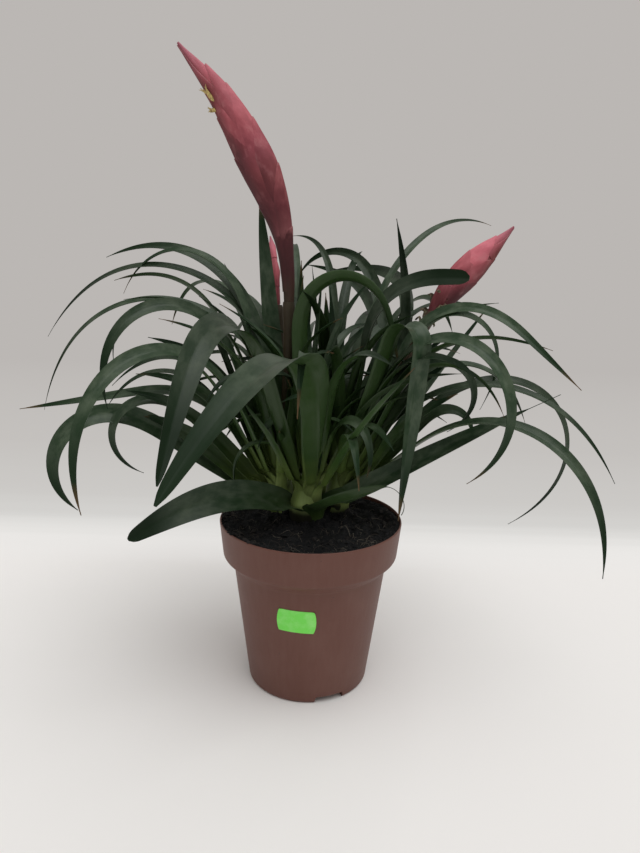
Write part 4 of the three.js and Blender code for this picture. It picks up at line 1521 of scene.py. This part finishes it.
@dataclass
class Rosette:
    """One crown with its leaves. Each leaf starts as a sheath that clasps the crown and runs
    out into a channelled blade with a thread tip."""

    crown: Crown
    root_spread: float = 1.6
    outer_root: tuple[float, float, float] = (30, 123, 5)
    inner_root: tuple[float, float, float] = (88, 128, 1.5)
    stations: int = 72
    columns: int = 10
    sheath_rows: int = 18
    sheath_foot: float = 112
    low_clasp: float = 0.3
    # The offset paints shade: the lowest leaves start further along the colour ramp, on its darker blade
    # colours.
    low_shade_offset: float = 55.0
    low_rise: Point = (30, 46)
    bulb: tuple[Point, ...] = (
        (0.7, 108), (0.86, 115), (1.06, 123), (1.10, 131),
        (0.84, 143), (0.50, 153), (0.24, 160), (0.02, 161),
    )
    bulb_corners: tuple[float, ...] = (0.0, 4.0, 5.0, 6.0, 7.0, 5.0, 2.0, 0.0)
    bulb_look: tuple[float, ...] = (0.0, 0.0, 0.72, 0.0)
    bulb_shift: Point = (-3.2, -3.4)
    bulb_sides: int = 36
    sheath_run: float = 30
    thickness: float = 0.9
    edge_thickness: float = 0.35
    thin_below: float = 1.5
    groove: float = 0.04
    groove_width: float = 0.12
    ripple: float = 0.05
    ripple_run: float = 17
    grain_step: float = 37
    base_channel: float = 0.65
    blade_channel: float = 0.3
    root_narrowing: Point = (0.3, 0.75)
    narrowing_rise: Point = (36, 60)
    root_narrow_to: float = 0.28
    taper: float = 4.0
    tip_width: float = 0.55
    round_from: float = 0.965
    seed: tuple[int, int] = (17, 4001)
    rule: InnerLeafRule = field(default_factory=InnerLeafRule)
    young: YoungLeafRule = field(default_factory=YoungLeafRule)

    @property
    def plan(self) -> CrownPlan:
        """The crown's plan."""
        return CROWNS[self.crown]

    def middle(self) -> Array:
        """Where the crown stands."""
        return CLUMP_MIDDLE + polar(self.plan.distance, self.plan.azimuth)

    def build(self, finish: Material) -> None:
        """Makes the crown's leaves.

        Args:
            finish: The leaf's skin.
        """
        draft = MeshDraft(f"leaves_{self.crown.value}")
        leaves = [Leaf(*row) for row in self.plan.leaves] + self.rule.leaves(self.plan)
        leaves += self.young.leaves(self.plan)
        draws = self.plan.draws(self.seed)
        for number, leaf in enumerate(leaves):
            self.add_leaf(draft, leaf, number, draws)
        self.add_bulb(draft)
        attach(draft.build(finish, sharp=75), "leaf", f"rosette_{self.crown.value}")

    def add_bulb(self, draft: MeshDraft) -> None:
        """Adds the smooth bulb that the closed sheaths of the crown's middle leaves form.

        Args:
            draft: The piece that it goes in.
        """
        profile = rounded(np.array(self.bulb), self.bulb_corners, 6)
        rings = lathe_rings(profile * [self.plan.radius, 1], self.bulb_sides)
        height = rings[..., 2]
        angles = ring_angles(self.bulb_sides)
        middle = self.middle() + (np.array(self.bulb_shift) if self.crown is Crown.FRONT else 0)
        lift = smooth((height - 126) / 34)
        folds = 1 + 0.035 * np.sin(angles * 3 + height * 0.10)
        folds += 0.02 * np.sin(angles * 7 - height * 0.16)
        level = rings[..., :2] * folds[..., None] + mix(middle, self.middle(), lift[..., None])
        rings = np.concatenate([level, height[..., None]], axis=2)
        place = stacked(angles * self.plan.radius, height - self.sheath_foot, 0)
        draft.add_tube(rings, self.bulb_look, place)

    def add_leaf(self, draft: MeshDraft, leaf: Leaf, number: int, draws: Draws) -> None:
        """Adds one leaf.

        Args:
            draft: The piece that it goes in.
            leaf: The leaf.
            number: Its number in the crown.
            draws: The crown's random draws.
        """
        low, high = self.outer_root[0], self.inner_root[0]
        share = float(smooth((leaf.rise - low) / (high - low)))
        root_azimuth = self.plan.azimuth + self.root_spread * (leaf.azimuth - self.plan.azimuth)
        height = mix(self.outer_root[1], self.inner_root[1], share)
        offset = mix(self.outer_root[2], self.inner_root[2], share)
        root = np.array([*(self.middle() + polar(offset, root_azimuth)), height])
        own, phase = draws.next(), draws.between(0, 6.28)
        s = np.linspace(0, 1, self.stations + 1)
        points, across, up = self.midrib(leaf, root, s)
        half, lift = self.section(leaf, s)
        v = np.linspace(-1, 1, self.columns + 1)
        groove = self.groove * np.exp(-((v / self.groove_width) ** 2))
        ripple = np.sin(s[:, None] * leaf.length / self.ripple_run + phase + v[None] * 1.2) * v[None] ** 2
        ripple = ripple * np.minimum(half, 6)[:, None] * self.ripple
        rise = lift[:, None] * np.abs(v[None]) ** 1.5 - groove[None] * half[:, None] + ripple
        body = mix(self.thickness, self.edge_thickness, np.abs(v) ** 2)[None]
        body = body * np.minimum(half / self.thin_below, 1)[:, None]
        level = points[:, None] + across[:, None] * (v[None, :, None] * half[:, None, None])
        top = level + up[:, None] * rise[..., None]
        below = level + up[:, None] * (rise - body)[..., None]
        first = max(int(round(self.sheath_run / leaf.length * self.stations)), 2)
        sheath_top, sheath_below = self.sheath(leaf, root_azimuth, share, top[first], below[first])
        top = np.concatenate([sheath_top, top[first + 1 :]])
        below = np.concatenate([sheath_below, below[first + 1 :]])
        rings = np.concatenate([top, below[:, ::-1]], axis=1)
        blade_share = np.concatenate([np.zeros(self.sheath_rows + 1), s[first + 1 :]])
        # Painted shade: low leaves start their colour run further along, so they wear the darker blade
        # colours as if shaded by the leaves above.
        low, high = self.low_rise
        start = self.low_shade_offset * (1 - smooth((leaf.rise - low) / (high - low)))
        run = start + np.linspace(0, self.sheath_run + 8, self.sheath_rows + 1)
        run = np.concatenate([run, run[-1] + (s[first + 1 :] - s[first]) * leaf.length])
        width = np.concatenate([np.full(self.sheath_rows + 1, half[first]), half[first + 1 :]])
        ring_v = np.concatenate([v, v[::-1]])
        upper = np.concatenate([np.ones_like(v), np.zeros_like(v)])
        look = stacked(blade_share[:, None], 0, own, upper)
        place = stacked(ring_v * width[:, None], run[:, None], number * self.grain_step)
        draft.add_tube(rings, look, place)

    def midrib(self, leaf: Leaf, root: Array, s: Array) -> tuple[Array, Array, Array]:
        """The line of a leaf's midrib with its directions.

        Args:
            leaf: The leaf.
            root: Where it starts.
            s: Shares of its length.

        Returns:
            Places, and unit vectors across the blade and out of its upper face, one a row.
        """

        def along_at(share: Array) -> tuple[Array, Array]:
            """The unit vectors along the leaf and level across it.

            Args:
                share: Shares of its length.

            Returns:
                Both, one a row.
            """
            span = leaf.turn_to - leaf.turn_from
            slope = np.radians(leaf.rise - leaf.turn * smooth((share - leaf.turn_from) / span))
            heading = np.radians(leaf.azimuth + leaf.sway * share)
            level = np.cos(slope)
            along = np.stack([level * np.cos(heading), level * np.sin(heading), np.sin(slope)], axis=1)
            return along, np.stack([-np.sin(heading), np.cos(heading), np.zeros_like(share)], axis=1)

        fine = np.linspace(0, 1, 4 * (len(s) - 1) + 1)
        steps, _ = along_at((fine[1:] + fine[:-1]) / 2)
        walked = np.concatenate([[np.zeros(3)], np.cumsum(steps, axis=0)]) * leaf.length / (len(fine) - 1)
        points = root + walked[::4]
        along, across = along_at(s)
        roll = np.radians(leaf.lean + leaf.twist * smooth((s - 0.15) / 0.85))[:, None]
        across = across * np.cos(roll) + np.cross(along, across) * np.sin(roll)
        return points, across, np.cross(along, across)

    def section(self, leaf: Leaf, s: Array) -> tuple[Array, Array]:
        """The blade's half width and how far its edges rise, at shares of its length.

        Args:
            leaf: The leaf.
            s: Shares of its length.

        Returns:
            Both, in millimetres.
        """
        low, high = self.narrowing_rise
        narrowing = mix(*self.root_narrowing, smooth((leaf.rise - low) / (high - low)))
        waist = 1 - narrowing * (1 - smooth(s / self.root_narrow_to))
        taper = 1 - (s * leaf.ending) ** self.taper
        end = np.sqrt(1 - (np.maximum(s - self.round_from, 0) / (1.002 - self.round_from)) ** 2)
        wide = leaf.width * waist * taper * (end if leaf.ending < 1 else 1)
        half = np.maximum(wide, self.tip_width) / 2
        lift = half * mix(self.base_channel, self.blade_channel, smooth(s / 0.35))
        return half, lift

    def sheath(
        self, leaf: Leaf, azimuth: float, share: float, top: Array, below: Array
    ) -> tuple[Array, Array]:
        """The leaf's foot, which clasps the crown and flows into the blade.

        Args:
            leaf: The leaf.
            azimuth: The root's azimuth about the crown.
            share: 0 for an outer leaf and 1 for one in the heart.
            top: The upper face's first row on the blade.
            below: The lower face's first row on the blade.

        Returns:
            The rows of the upper and the lower face, from the soil to the blade.
        """
        radius = self.plan.radius * mix(1.0, 0.6, share)
        wrap = min(math.degrees(leaf.width * 0.8 / radius) + 24, 96)
        v = np.linspace(-1, 1, self.columns + 1)
        angles = np.radians(azimuth + v * wrap)
        t = np.linspace(0, 1, self.sheath_rows + 1)[:, None]
        belly = 0.84 + 0.24 * np.sin(math.pi * np.minimum(t * 1.25 + 0.06, 1)) ** 1.5
        belly += self.low_clasp * (1 - share) * (1 - smooth(t / 0.4))
        belly *= 1 - 0.45 * smooth((t - 0.35) / 0.65)
        faces = []
        for edge, depth in ((top, -0.5), (below, 0.5)):
            swell = radius * belly + depth * (1 - t * 0.5)
            x = self.middle()[0] + swell * np.cos(angles)
            y = self.middle()[1] + swell * np.sin(angles)
            height = mix(self.sheath_foot, edge[:, 2].mean(), t) - 1.5 * v**2 * (1 - t)
            faces.append(mix(stacked(x, y, height), edge, smooth((t - 0.3) / 0.7)[..., None]))
        return faces[0], faces[1]


# Flower spikes


@dataclass(frozen=True)
class SpikePlan:
    """A flower spike: the crown it grows from, its plane, the lines of its stem and its head,
    the head's half widths at even shares of its length, and its bracts from the foot up. Each
    bract has the share where its tip stands, the edge that its keel follows, 1 for the lower
    and -1 for the upper one, and how bluntly its margin turns to the tip. The step is how far
    the bracts stand off, and the foot's tone is where on the finish's scale the head starts."""

    name: str
    crown: Crown
    azimuth: float
    stem: tuple[Point, ...]
    line: tuple[Point, ...]
    half_widths: tuple[float, ...]
    bracts: tuple[tuple[float, int, float], ...]
    step: float = 1.0
    foot_tone: float = 0.4


SPIKES = (
    SpikePlan(
        "tall", Crown.LEFT, 163,
        ((0, 112), (-2, 190), (-4, 240), (-4, 268)),
        ((-4, 268), (-3, 291), (2, 322), (13, 351), (30, 382), (48, 409), (78, 442)),
        (3.4, 4.4, 5, 8.2, 11.2, 13.2, 12, 9.8, 7, 4, 0.5),
        (
            (0.27, -1, 7), (0.37, 1, 2.6), (0.47, -1, 2.2), (0.56, 1, 2.4), (0.64, -1, 2.2),
            (0.71, 1, 2.4), (0.78, -1, 2.2), (0.81, 1, 2.4), (0.875, -1, 3.4), (0.995, 1, 1.4),
        ),
    ),
    SpikePlan(
        "right", Crown.RIGHT, 16,
        ((0, 112), (14, 160), (40, 212), (66, 262)),
        ((66, 262), (80, 281), (98.5, 300.5), (115.7, 316.4), (129, 329)),
        (2.8, 7.2, 10.0, 11.4, 10.7, 8.0, 3.8, 0.5),
        (
            (0.34, -1, 3), (0.48, 1, 2.6), (0.60, -1, 2.4), (0.72, 1, 2.4), (0.84, -1, 2.4),
            (0.995, 1, 1.4),
        ),
        0.4,
        0.60,
    ),
    SpikePlan(
        "back", Crown.BACK_LEFT, 114,
        ((0, 112), (20, 180), (34, 230), (42, 262)),
        ((42, 262), (48, 283), (54, 302), (61, 319)),
        (2.4, 4, 5.6, 6, 4, 0.5),
        ((0.40, 1, 3), (0.62, -1, 2.4), (0.80, 1, 2.4), (0.995, -1, 1.4)),
        0.4,
        0.62,
    ),
)


@dataclass
class FlowerSpike:
    """A flat flower head of bracts that overlap in two rows, on a sheathed stem."""

    plan: SpikePlan
    stations: int = 110
    sides: int = 40
    flatness: float = 0.16
    thin_edge: float = 2.0
    bract_length: float = 0.31
    bract_rows: int = 44
    bract_columns: int = 34
    bract_thickness: float = 0.5
    belly: float = 2.6
    belly_back: float = 0.12
    belly_run: float = 0.07
    widest: float = 13.2
    stem_radius: float = 2.0
    stem_sides: int = 14
    stem_rings: int = 50
    stem_end: float = 18.0
    stem_sheaths: int = 6
    sheath_rings: int = 16
    sheath_from: Point = (0.40, 0.84)
    sheath_length: float = 0.20
    sheath_swell: Point = (0.9, 3.2)
    head_from: float = 0.44
    free_tip: float = 8.0
    eased_over: tuple[float, ...] = (-0.04, -0.02, 0, 0.02, 0.04)
    grain_step: float = 23
    seed: int = 911

    def line_through(self, points: tuple[Point, ...]) -> SmoothLine:
        """The curve through distances out and heights in the spike's plane.

        Args:
            points: Distance and height of each point.

        Returns:
            The curve.
        """
        rosette = Rosette(self.plan.crown)
        places = [np.array([*(rosette.middle() + polar(out, self.plan.azimuth)), z]) for out, z in points]
        return SmoothLine(places)

    def half_width(self, share: Array | float) -> Array:
        """The head's half width at shares of its length, eased between the given ones.

        Args:
            share: Shares of its length.

        Returns:
            The half widths.
        """
        marks = np.linspace(0, 1, len(self.plan.half_widths))
        ease = [np.interp(share + shift, marks, self.plan.half_widths) for shift in self.eased_over]
        return sum(ease) / len(ease)

    def half_thickness(self, half: Array) -> Array:
        """Half the head's thickness where it has a half width."""
        return np.minimum(half * 0.8, self.thin_edge + half * self.flatness)

    def relief(self, shares: Array, across: Array) -> Array:
        """How far the bellies of the bracts raise the head's flat faces.

        Args:
            shares: Shares of the head's length, one a row.
            across: Places across the head, from -1 to 1, with a row for each share.

        Returns:
            The rise in millimetres, with the shape of across.
        """
        total = np.zeros_like(across)
        for tip, side, _ in self.plan.bracts:
            run = np.exp(-(((shares - tip + self.belly_back) / self.belly_run) ** 2))
            total += run[:, None] * np.exp(-(((across * side - 0.36) / 0.42) ** 2))
        size = self.belly * self.half_width(shares) / self.widest
        return total * size[:, None] * np.sqrt(np.clip(1 - across**2, 0, 1))

    def frames(self, line: SmoothLine, shares: Array) -> tuple[Array, ...]:
        """Places on the head's line, and unit vectors along, across and out of its flat face.

        Args:
            line: The head's line.
            shares: Shares of its length.

        Returns:
            The places and the three directions, one a row.
        """
        along = line.along(shares)
        face = np.broadcast_to(np.array([*polar(1, self.plan.azimuth + 90), 0.0]), along.shape)
        return line.at(shares), along, np.cross(face, along), face

    def spot(self, line: SmoothLine, share: float) -> tuple[Array, ...]:
        """The place and the three directions at one share of a line."""
        return tuple(rows[0] for rows in self.frames(line, np.array([share])))

    def build(self, finish: Material) -> None:
        """Makes the head and the stem.

        Args:
            finish: The bracts' skin.
        """
        line = self.line_through(self.plan.line)
        draft = MeshDraft(f"flower_head_{self.plan.name}")
        self.add_axis(draft, line)
        draws = Draws(self.seed + len(self.plan.name) * 13)
        for number in range(len(self.plan.bracts)):
            self.add_bract(draft, line, number, draws)
        attach(draft.build(finish, sharp=80), "bloom", f"bloom_{self.plan.name}")
        self.build_stem(finish)

    def look_rows(self, shares: Array, across: Array, edge: Array, own: float) -> Array:
        """The finish's four numbers for rows of points on the head; the last paints the upper edge lit
        and the lower shaded.
        """
        return stacked(mix(self.plan.foot_tone, 1.0, shares)[:, None], edge, own, 0.5 - 0.5 * across)

    def add_axis(self, draft: MeshDraft, line: SmoothLine) -> None:
        """Adds the head's inner body, which shows between the bracts and at its tip.

        Args:
            draft: The piece that it goes in.
            line: The head's line.
        """
        shares = np.linspace(0, 1, self.stations + 1)
        points, _, across, face = self.frames(line, shares)
        half = self.half_width(shares) * 0.93
        thick = self.half_thickness(half) * 0.9
        angles = ring_angles(self.sides)
        over = np.broadcast_to(np.cos(angles), (len(shares), self.sides))
        deep = thick[:, None] * np.sin(angles) + np.sign(np.sin(angles)) * self.relief(shares, over)
        rings = (
            points[:, None]
            + across[:, None] * (half[:, None] * np.cos(angles))[..., None]
            + face[:, None] * deep[..., None]
        )
        place = stacked(angles * half.max(), (shares * line.length)[:, None], 0)
        draft.add_tube(rings, self.look_rows(shares, over, np.zeros_like(over), 0.5), place)

    def add_bract(self, draft: MeshDraft, line: SmoothLine, number: int, draws: Draws) -> None:
        """Adds one bract, folded along its keel at the head's edge.

        Args:
            draft: The piece that it goes in.
            line: The head's line.
            number: Its number, from the foot of the head.
            draws: The head's random draws.
        """
        tip, side, blunt = self.plan.bracts[number]
        u = np.linspace(0, 1, self.bract_rows + 1)
        start = max(tip - self.bract_length, 0.004)
        shares = mix(start, tip, u)
        points, along, across, face = self.frames(line, shares)
        own = draws.next()
        half = self.half_width(shares)
        thick = self.half_thickness(half)
        reach = np.arccos(np.clip(mix(-0.45, 0.985, u**blunt), -0.99, 0.985))
        columns = np.linspace(-1, 1, self.bract_columns + 1)
        angle = reach[:, None] * columns[None]
        over = side * np.cos(angle)
        rise = np.sign(np.sin(angle)) * self.relief(shares, over)
        end = smooth((u - 0.82) / 0.18) * min(float(half[-1]) / self.free_tip, 1) * self.plan.step
        lie = 1 - 0.85 * np.abs(columns) ** 6
        layer = (0.2 + (0.5 * u + 0.12 * own) * self.plan.step)[:, None] * lie[None]
        faces = []
        for depth in (0.0, self.bract_thickness):
            wide = (half[:, None] + layer - depth) * np.cos(angle) + (end * 0.35)[:, None]
            deep = (thick[:, None] + layer - depth) * np.sin(angle) + rise
            faces.append(
                points[:, None]
                + across[:, None] * (wide * side)[..., None]
                + face[:, None] * deep[..., None]
                + along[:, None] * end[:, None, None]
            )
        rings = np.concatenate([faces[0], faces[1][:, ::-1]], axis=1)
        ring_v = np.concatenate([columns, columns[::-1]])
        ring_over = np.concatenate([over, over[:, ::-1]], axis=1)
        edge = np.maximum(np.abs(ring_v)[None] ** 14, smooth((u - 0.93) / 0.07)[:, None])
        unrolled = ring_v * reach[:, None] * half[:, None]
        place = stacked(unrolled, (shares * line.length)[:, None], number * self.grain_step)
        draft.add_tube(rings, self.look_rows(shares, ring_over, edge, own), place)

    def build_stem(self, finish: Material) -> None:
        """Makes the stem with its olive sheathing bracts, which redden towards the head.

        Args:
            finish: The bracts' skin.
        """
        line = self.line_through((*self.plan.stem, self.plan.line[1]))
        draft = MeshDraft(f"flower_stem_{self.plan.name}")
        reach = 1 - self.stem_end / line.length
        shares = np.linspace(0, reach, self.stem_rings)
        self.add_stem_rings(draft, line, shares, np.full(self.stem_rings, self.stem_radius))
        for rank in np.linspace(0, 1, self.stem_sheaths):
            low = reach * mix(*self.sheath_from, rank)
            high = min(low + self.sheath_length, reach)
            out = np.linspace(0, 1, self.sheath_rings)
            swell = mix(*self.sheath_swell, rank) * out**0.7 * (1 - 0.5 * out**3)
            radii = self.stem_radius + 0.35 + swell
            self.add_stem_rings(draft, line, mix(low, high, out), radii)
        attach(draft.build(finish, sharp=75), "bloom")

    def add_stem_rings(self, draft: MeshDraft, line: SmoothLine, shares: Array, radii: Array) -> None:
        """Adds a stretch of stem, green below and olive near the head, with one side painted lit and the
        other painted shade.

        Args:
            draft: The piece that it goes in.
            line: The stem's line.
            shares: Where its rings stand, as shares of the line's length.
            radii: The radius of each ring.
        """
        # One side of each ring is painted lit, the other painted shade.
        lit = 0.5 + 0.5 * np.cos(ring_angles(self.stem_sides))
        look = stacked((shares * self.head_from)[:, None], 0, 0.4, lit)
        place = stacked(np.arange(self.stem_sides) * 0.9, (shares * line.length)[:, None], 0)
        draft.add_tube(tube_rings(line, shares, radii, self.stem_sides), look, place)


@dataclass
class DryRemains:
    """Withered strips of bract: a tuft round the foot of the right head, and a shrivelled bit on
    the head's lower edge."""

    tuft: int = 30
    tuft_from: float = 0.66
    tuft_to: float = 0.96
    tuft_length: Point = (9, 19)
    tuft_half_width: Point = (1.0, 2.6)
    shrivel: int = 6
    shrivel_share: float = 0.60
    shrivel_length: Point = (2.0, 4.2)
    shrivel_half_width: Point = (0.5, 1.0)
    half_thickness: float = 0.28
    guide: tuple[float, float, float] = (0.31, 0.52, 0.79)
    rings: int = 20
    sides: int = 10
    seed: int = 2203

    def build(self, spike: FlowerSpike, finish: Material) -> None:
        """Makes all the strips.

        Args:
            spike: The right spike.
            finish: The withered skin.
        """
        draws = Draws(self.seed)
        draft = MeshDraft("dry_bracts")
        stem = spike.line_through((*spike.plan.stem, spike.plan.line[1]))
        for number in range(self.tuft):
            share = draws.between(self.tuft_from, self.tuft_to)
            turn = 2 * math.pi * (number * 0.618 + 0.1)
            point, along, across, face = spike.spot(stem, share)
            out = across * math.cos(turn) + face * math.sin(turn)
            start = point + out * spike.stem_radius * 0.7
            length = draws.between(*self.tuft_length)
            bend = out * length * draws.between(0.08, 0.34)
            droop = np.array([0, 0, -length * draws.between(0.0, 0.35)])
            line = [start, start + along * length * 0.45 + bend * 0.5]
            line.append(line[1] + along * length * 0.35 + bend + droop * 0.3)
            line.append(line[2] + along * length * 0.05 + bend * 0.8 + droop)
            self.add_strip(draft, line, draws.between(*self.tuft_half_width), draws)
        head = spike.line_through(spike.plan.line)
        for _ in range(self.shrivel):
            share = self.shrivel_share + draws.between(-0.045, 0.045)
            point, along, across, face = spike.spot(head, share)
            lower = across * (-1 if across[2] > 0 else 1)
            start = point + lower * spike.half_width(share) * 0.86 + face * draws.between(0.4, 1.6)
            reach = draws.between(*self.shrivel_length)
            bend = face * draws.between(0.2, 1.2)
            line = [start, start + along * reach * 0.6 + lower * 0.7 + bend]
            line.append(line[1] + along * reach * 0.4 + lower * draws.between(0.2, 1.4))
            self.add_strip(draft, line, draws.between(*self.shrivel_half_width), draws)
        attach(draft.build(finish, sharp=60), "bloom")

    def add_strip(self, draft: MeshDraft, points: list[Array], half: float, draws: Draws) -> None:
        """Adds one crumpled strip that narrows to a ragged tip.

        Args:
            draft: The piece that it goes in.
            points: The places that its middle passes.
            half: Half its width.
            draws: The piece's random draws.
        """
        line = SmoothLine(points)
        shares = np.linspace(0, 1, self.rings)
        along, middle = line.along(shares), line.at(shares)
        first = unit(np.cross(along, self.guide))
        second = np.cross(along, first)
        roll = draws.between(0, 3.1) + shares * draws.between(-1.6, 1.6)
        wide = first * np.cos(roll)[:, None] + second * np.sin(roll)[:, None]
        thin = np.cross(along, wide)
        angles = ring_angles(self.sides)
        width = half * (1 - shares**3) * (1 + 0.18 * np.sin(shares * 23 + roll)) + 0.15
        curl = 0.5 * half * np.cos(angles * 2)[None] * np.sin(shares * 9 + roll[0])[:, None]
        rings = middle[:, None] + wide[:, None] * (width[:, None] * np.cos(angles))[..., None]
        rings = rings + thin[:, None] * (self.half_thickness * np.sin(angles) + curl)[..., None]
        draft.add_tube(rings, stacked(shares[:, None], 0, draws.next(), angles * 0))


@dataclass
class DryFlowers:
    """Two withered flowers that stick out of the tall head's flat face near its lower edge. Each
    spot has the share of the head's length, how far out it is, its lean and its length."""

    spots: tuple[tuple[float, float, float, float], ...] = ((0.765, 0.6, 4, 9), (0.735, 0.85, 55, 4.5))
    forward: float = 20
    radius: float = 1.1
    root: float = 3.0
    sides: int = 12
    rings: int = 14
    threads: int = 7
    thread_rings: int = 7
    thread_sides: int = 6
    thread_radius: Point = (0.55, 0.12)
    seed: int = 57

    def build(self, spike: FlowerSpike, finish: Material) -> None:
        """Makes both flowers.

        Args:
            spike: The tall spike.
            finish: The withered tissue.
        """
        line = spike.line_through(spike.plan.line)
        level = math.cos(math.radians(self.forward))
        for number, (share, out, lean, _) in enumerate(self.spots, 1):
            point, along, across, face = spike.spot(line, share)
            half = spike.half_width(share)
            lower = across * (-1 if across[2] > 0 else 1)
            turn = math.radians(lean)
            direction = (along * math.cos(turn) + lower * math.sin(turn)) * level
            direction = direction + face * math.sin(math.radians(self.forward))
            depth = spike.half_thickness(half) * math.sqrt(1 - out**2)
            mouth = point + lower * half * out + face * depth
            self.build_flower(number, mouth, direction, unit(np.cross(direction, face)), finish)

    def build_flower(
        self, number: int, mouth: Array, direction: Array, across: Array, finish: Material
    ) -> None:
        """Makes one flower: a crumpled tube with ragged lobes and threads.

        Args:
            number: The flower's number.
            mouth: Where it leaves the head.
            direction: The way that it points.
            across: A unit vector square to the direction.
            finish: The withered tissue.
        """
        draws = Draws(self.seed * number)
        length = self.spots[number - 1][3]
        face = np.cross(across, direction)
        angles = ring_angles(self.sides)
        draft = MeshDraft(f"dry_flower_{number}")
        marks = np.linspace(0, 1, self.rings)
        rings = []
        for u in marks:
            distance = mix(-self.root, length * 0.85, u)
            radius = self.radius * (0.8 + 0.35 * math.sin(math.pi * u) + 0.4 * u**6)
            wobble = np.array([1 + 0.25 * math.sin(3 * a + u * 9 + number) for a in angles])
            centre = mouth + direction * distance
            ring = across * np.cos(angles)[:, None] + face * np.sin(angles)[:, None]
            rings.append(centre + ring * (radius * wobble)[:, None])
        draft.add_tube(np.array(rings), stacked(marks[:, None], 0, 0, angles * 0))
        for i in range(self.threads):
            turn = 2 * math.pi * i / self.threads + draws.between(-0.3, 0.3)
            away = across * math.cos(turn) + face * math.sin(turn)
            base = mouth + direction * (length * 0.7) + away * self.radius * 0.8
            reach = length * draws.between(0.3, 0.55)
            bend = away * reach * draws.between(0.1, 0.7)
            points = [base, base + direction * reach * 0.5 + bend * 0.3, base + direction * reach + bend]
            shares = np.linspace(0, 1, self.thread_rings)
            radii = mix(*self.thread_radius, shares)
            tube = tube_rings(SmoothLine(points), shares, radii, self.thread_sides)
            look = stacked(mix(0.5, 1.0, shares)[:, None], 0, 0, np.zeros(self.thread_sides))
            draft.add_tube(tube, look)
        attach(draft.build(finish, sharp=75), "flower", f"flower_{number}")


# Stage


@dataclass
class Studio:
    """Camera, floor and light."""

    focal_pixels: float = 690.0
    frame_pixels: tuple[int, int] = (640, 853)
    eye: tuple[float, float, float] = (4.9, -467.0, 304.0)
    pitch: float = 13.8
    roll: float = 1.46
    sensor: float = 36.0
    floor_size: float = 40000.0
    world: Colour = (0.497, 0.474, 0.456)
    sun_energy: float = 1.6
    sun_angle: float = 60.0
    sun_tilt: tuple[float, float] = (12.0, 12.0)

    def build(self) -> None:
        """Sets up the camera, the floor, the light and how colours are shown."""
        scene = bpy.context.scene
        scene.view_settings.view_transform = "Standard"
        scene.view_settings.look = "None"
        self.build_camera(scene)
        self.build_floor()
        self.build_light(scene)

    def build_camera(self, scene: bpy.types.Scene) -> None:
        """Stands the camera where the photograph was taken from.

        Args:
            scene: The scene.
        """
        pitch, roll = math.radians(self.pitch), math.radians(self.roll)
        ahead = Vector((0.0, math.cos(pitch), -math.sin(pitch)))
        right = Vector((1.0, 0.0, 0.0))
        up = right.cross(ahead)
        turned_right = right * math.cos(roll) + up * math.sin(roll)
        turned_up = up * math.cos(roll) - right * math.sin(roll)
        turn = Matrix((turned_right, turned_up, -ahead)).transposed()
        data = bpy.data.cameras.new("camera")
        data.sensor_fit = "VERTICAL"
        data.sensor_height = self.sensor
        data.sensor_width = self.sensor
        data.lens = self.sensor * self.focal_pixels / self.frame_pixels[1]
        data.clip_start = 0.01
        data.clip_end = 200.0
        camera = bpy.data.objects.new("camera", data)
        camera.matrix_world = Matrix.Translation(Vector(self.eye) * MM) @ turn.to_4x4()
        scene.collection.objects.link(camera)
        scene.camera = camera

    def build_floor(self) -> None:
        """Lays the floor, which fades into a glowing backdrop."""
        reach = self.floor_size / 2
        draft = MeshDraft("floor")
        corners = [(-reach, -reach, 0), (reach, -reach, 0), (reach, reach, 0), (-reach, reach, 0)]
        draft.add(np.array(corners), [(0, 1, 2, 3)])
        floor = draft.build(FloorPaper().material())

    def build_light(self, scene: bpy.types.Scene) -> None:
        """Lights the scene evenly, with one broad soft light above.

        Args:
            scene: The scene.
        """
        world = bpy.data.worlds.new("studio")
        world.use_nodes = True
        world.node_tree.nodes["Background"].inputs["Color"].default_value = (*self.world, 1.0)
        scene.world = world
        data = bpy.data.lights.new("soft_top", "SUN")
        data.energy = self.sun_energy
        data.angle = math.radians(self.sun_angle)
        light = bpy.data.objects.new("soft_top", data)
        light.rotation_euler = tuple(math.radians(a) for a in (*self.sun_tilt, 0.0))
        scene.collection.objects.link(light)


def main() -> None:
    """Builds the stage and every piece."""
    logging.basicConfig(level=logging.INFO, format="%(message)s")
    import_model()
    Studio().build()
    finishes = {
        "pot": PotPlastic().material(),
        "label": LabelPaper().material(),
        "soil": PottingMix().material(),
        "chip": BarkChip().material(),
        "fibre": Fibre().material(),
        "leaf": LeafSkin().material(),
        "bract": BractSkin().material(),
        "petal": DryPetal().material(),
        "dry": DryBract().material(),
    }
    pot = NurseryPot()
    pot.build(finishes["pot"])
    PriceLabel().build(pot, finishes["label"])
    SoilBed().build(pot, finishes)
    for crown in Crown:
        Rosette(crown).build(finishes["leaf"])
    for plan in SPIKES:
        FlowerSpike(plan).build(finishes["bract"])
    DryFlowers().build(FlowerSpike(SPIKES[0]), finishes["petal"])
    DryRemains().build(FlowerSpike(SPIKES[1]), finishes["dry"])


if __name__ == "__main__":
    main()
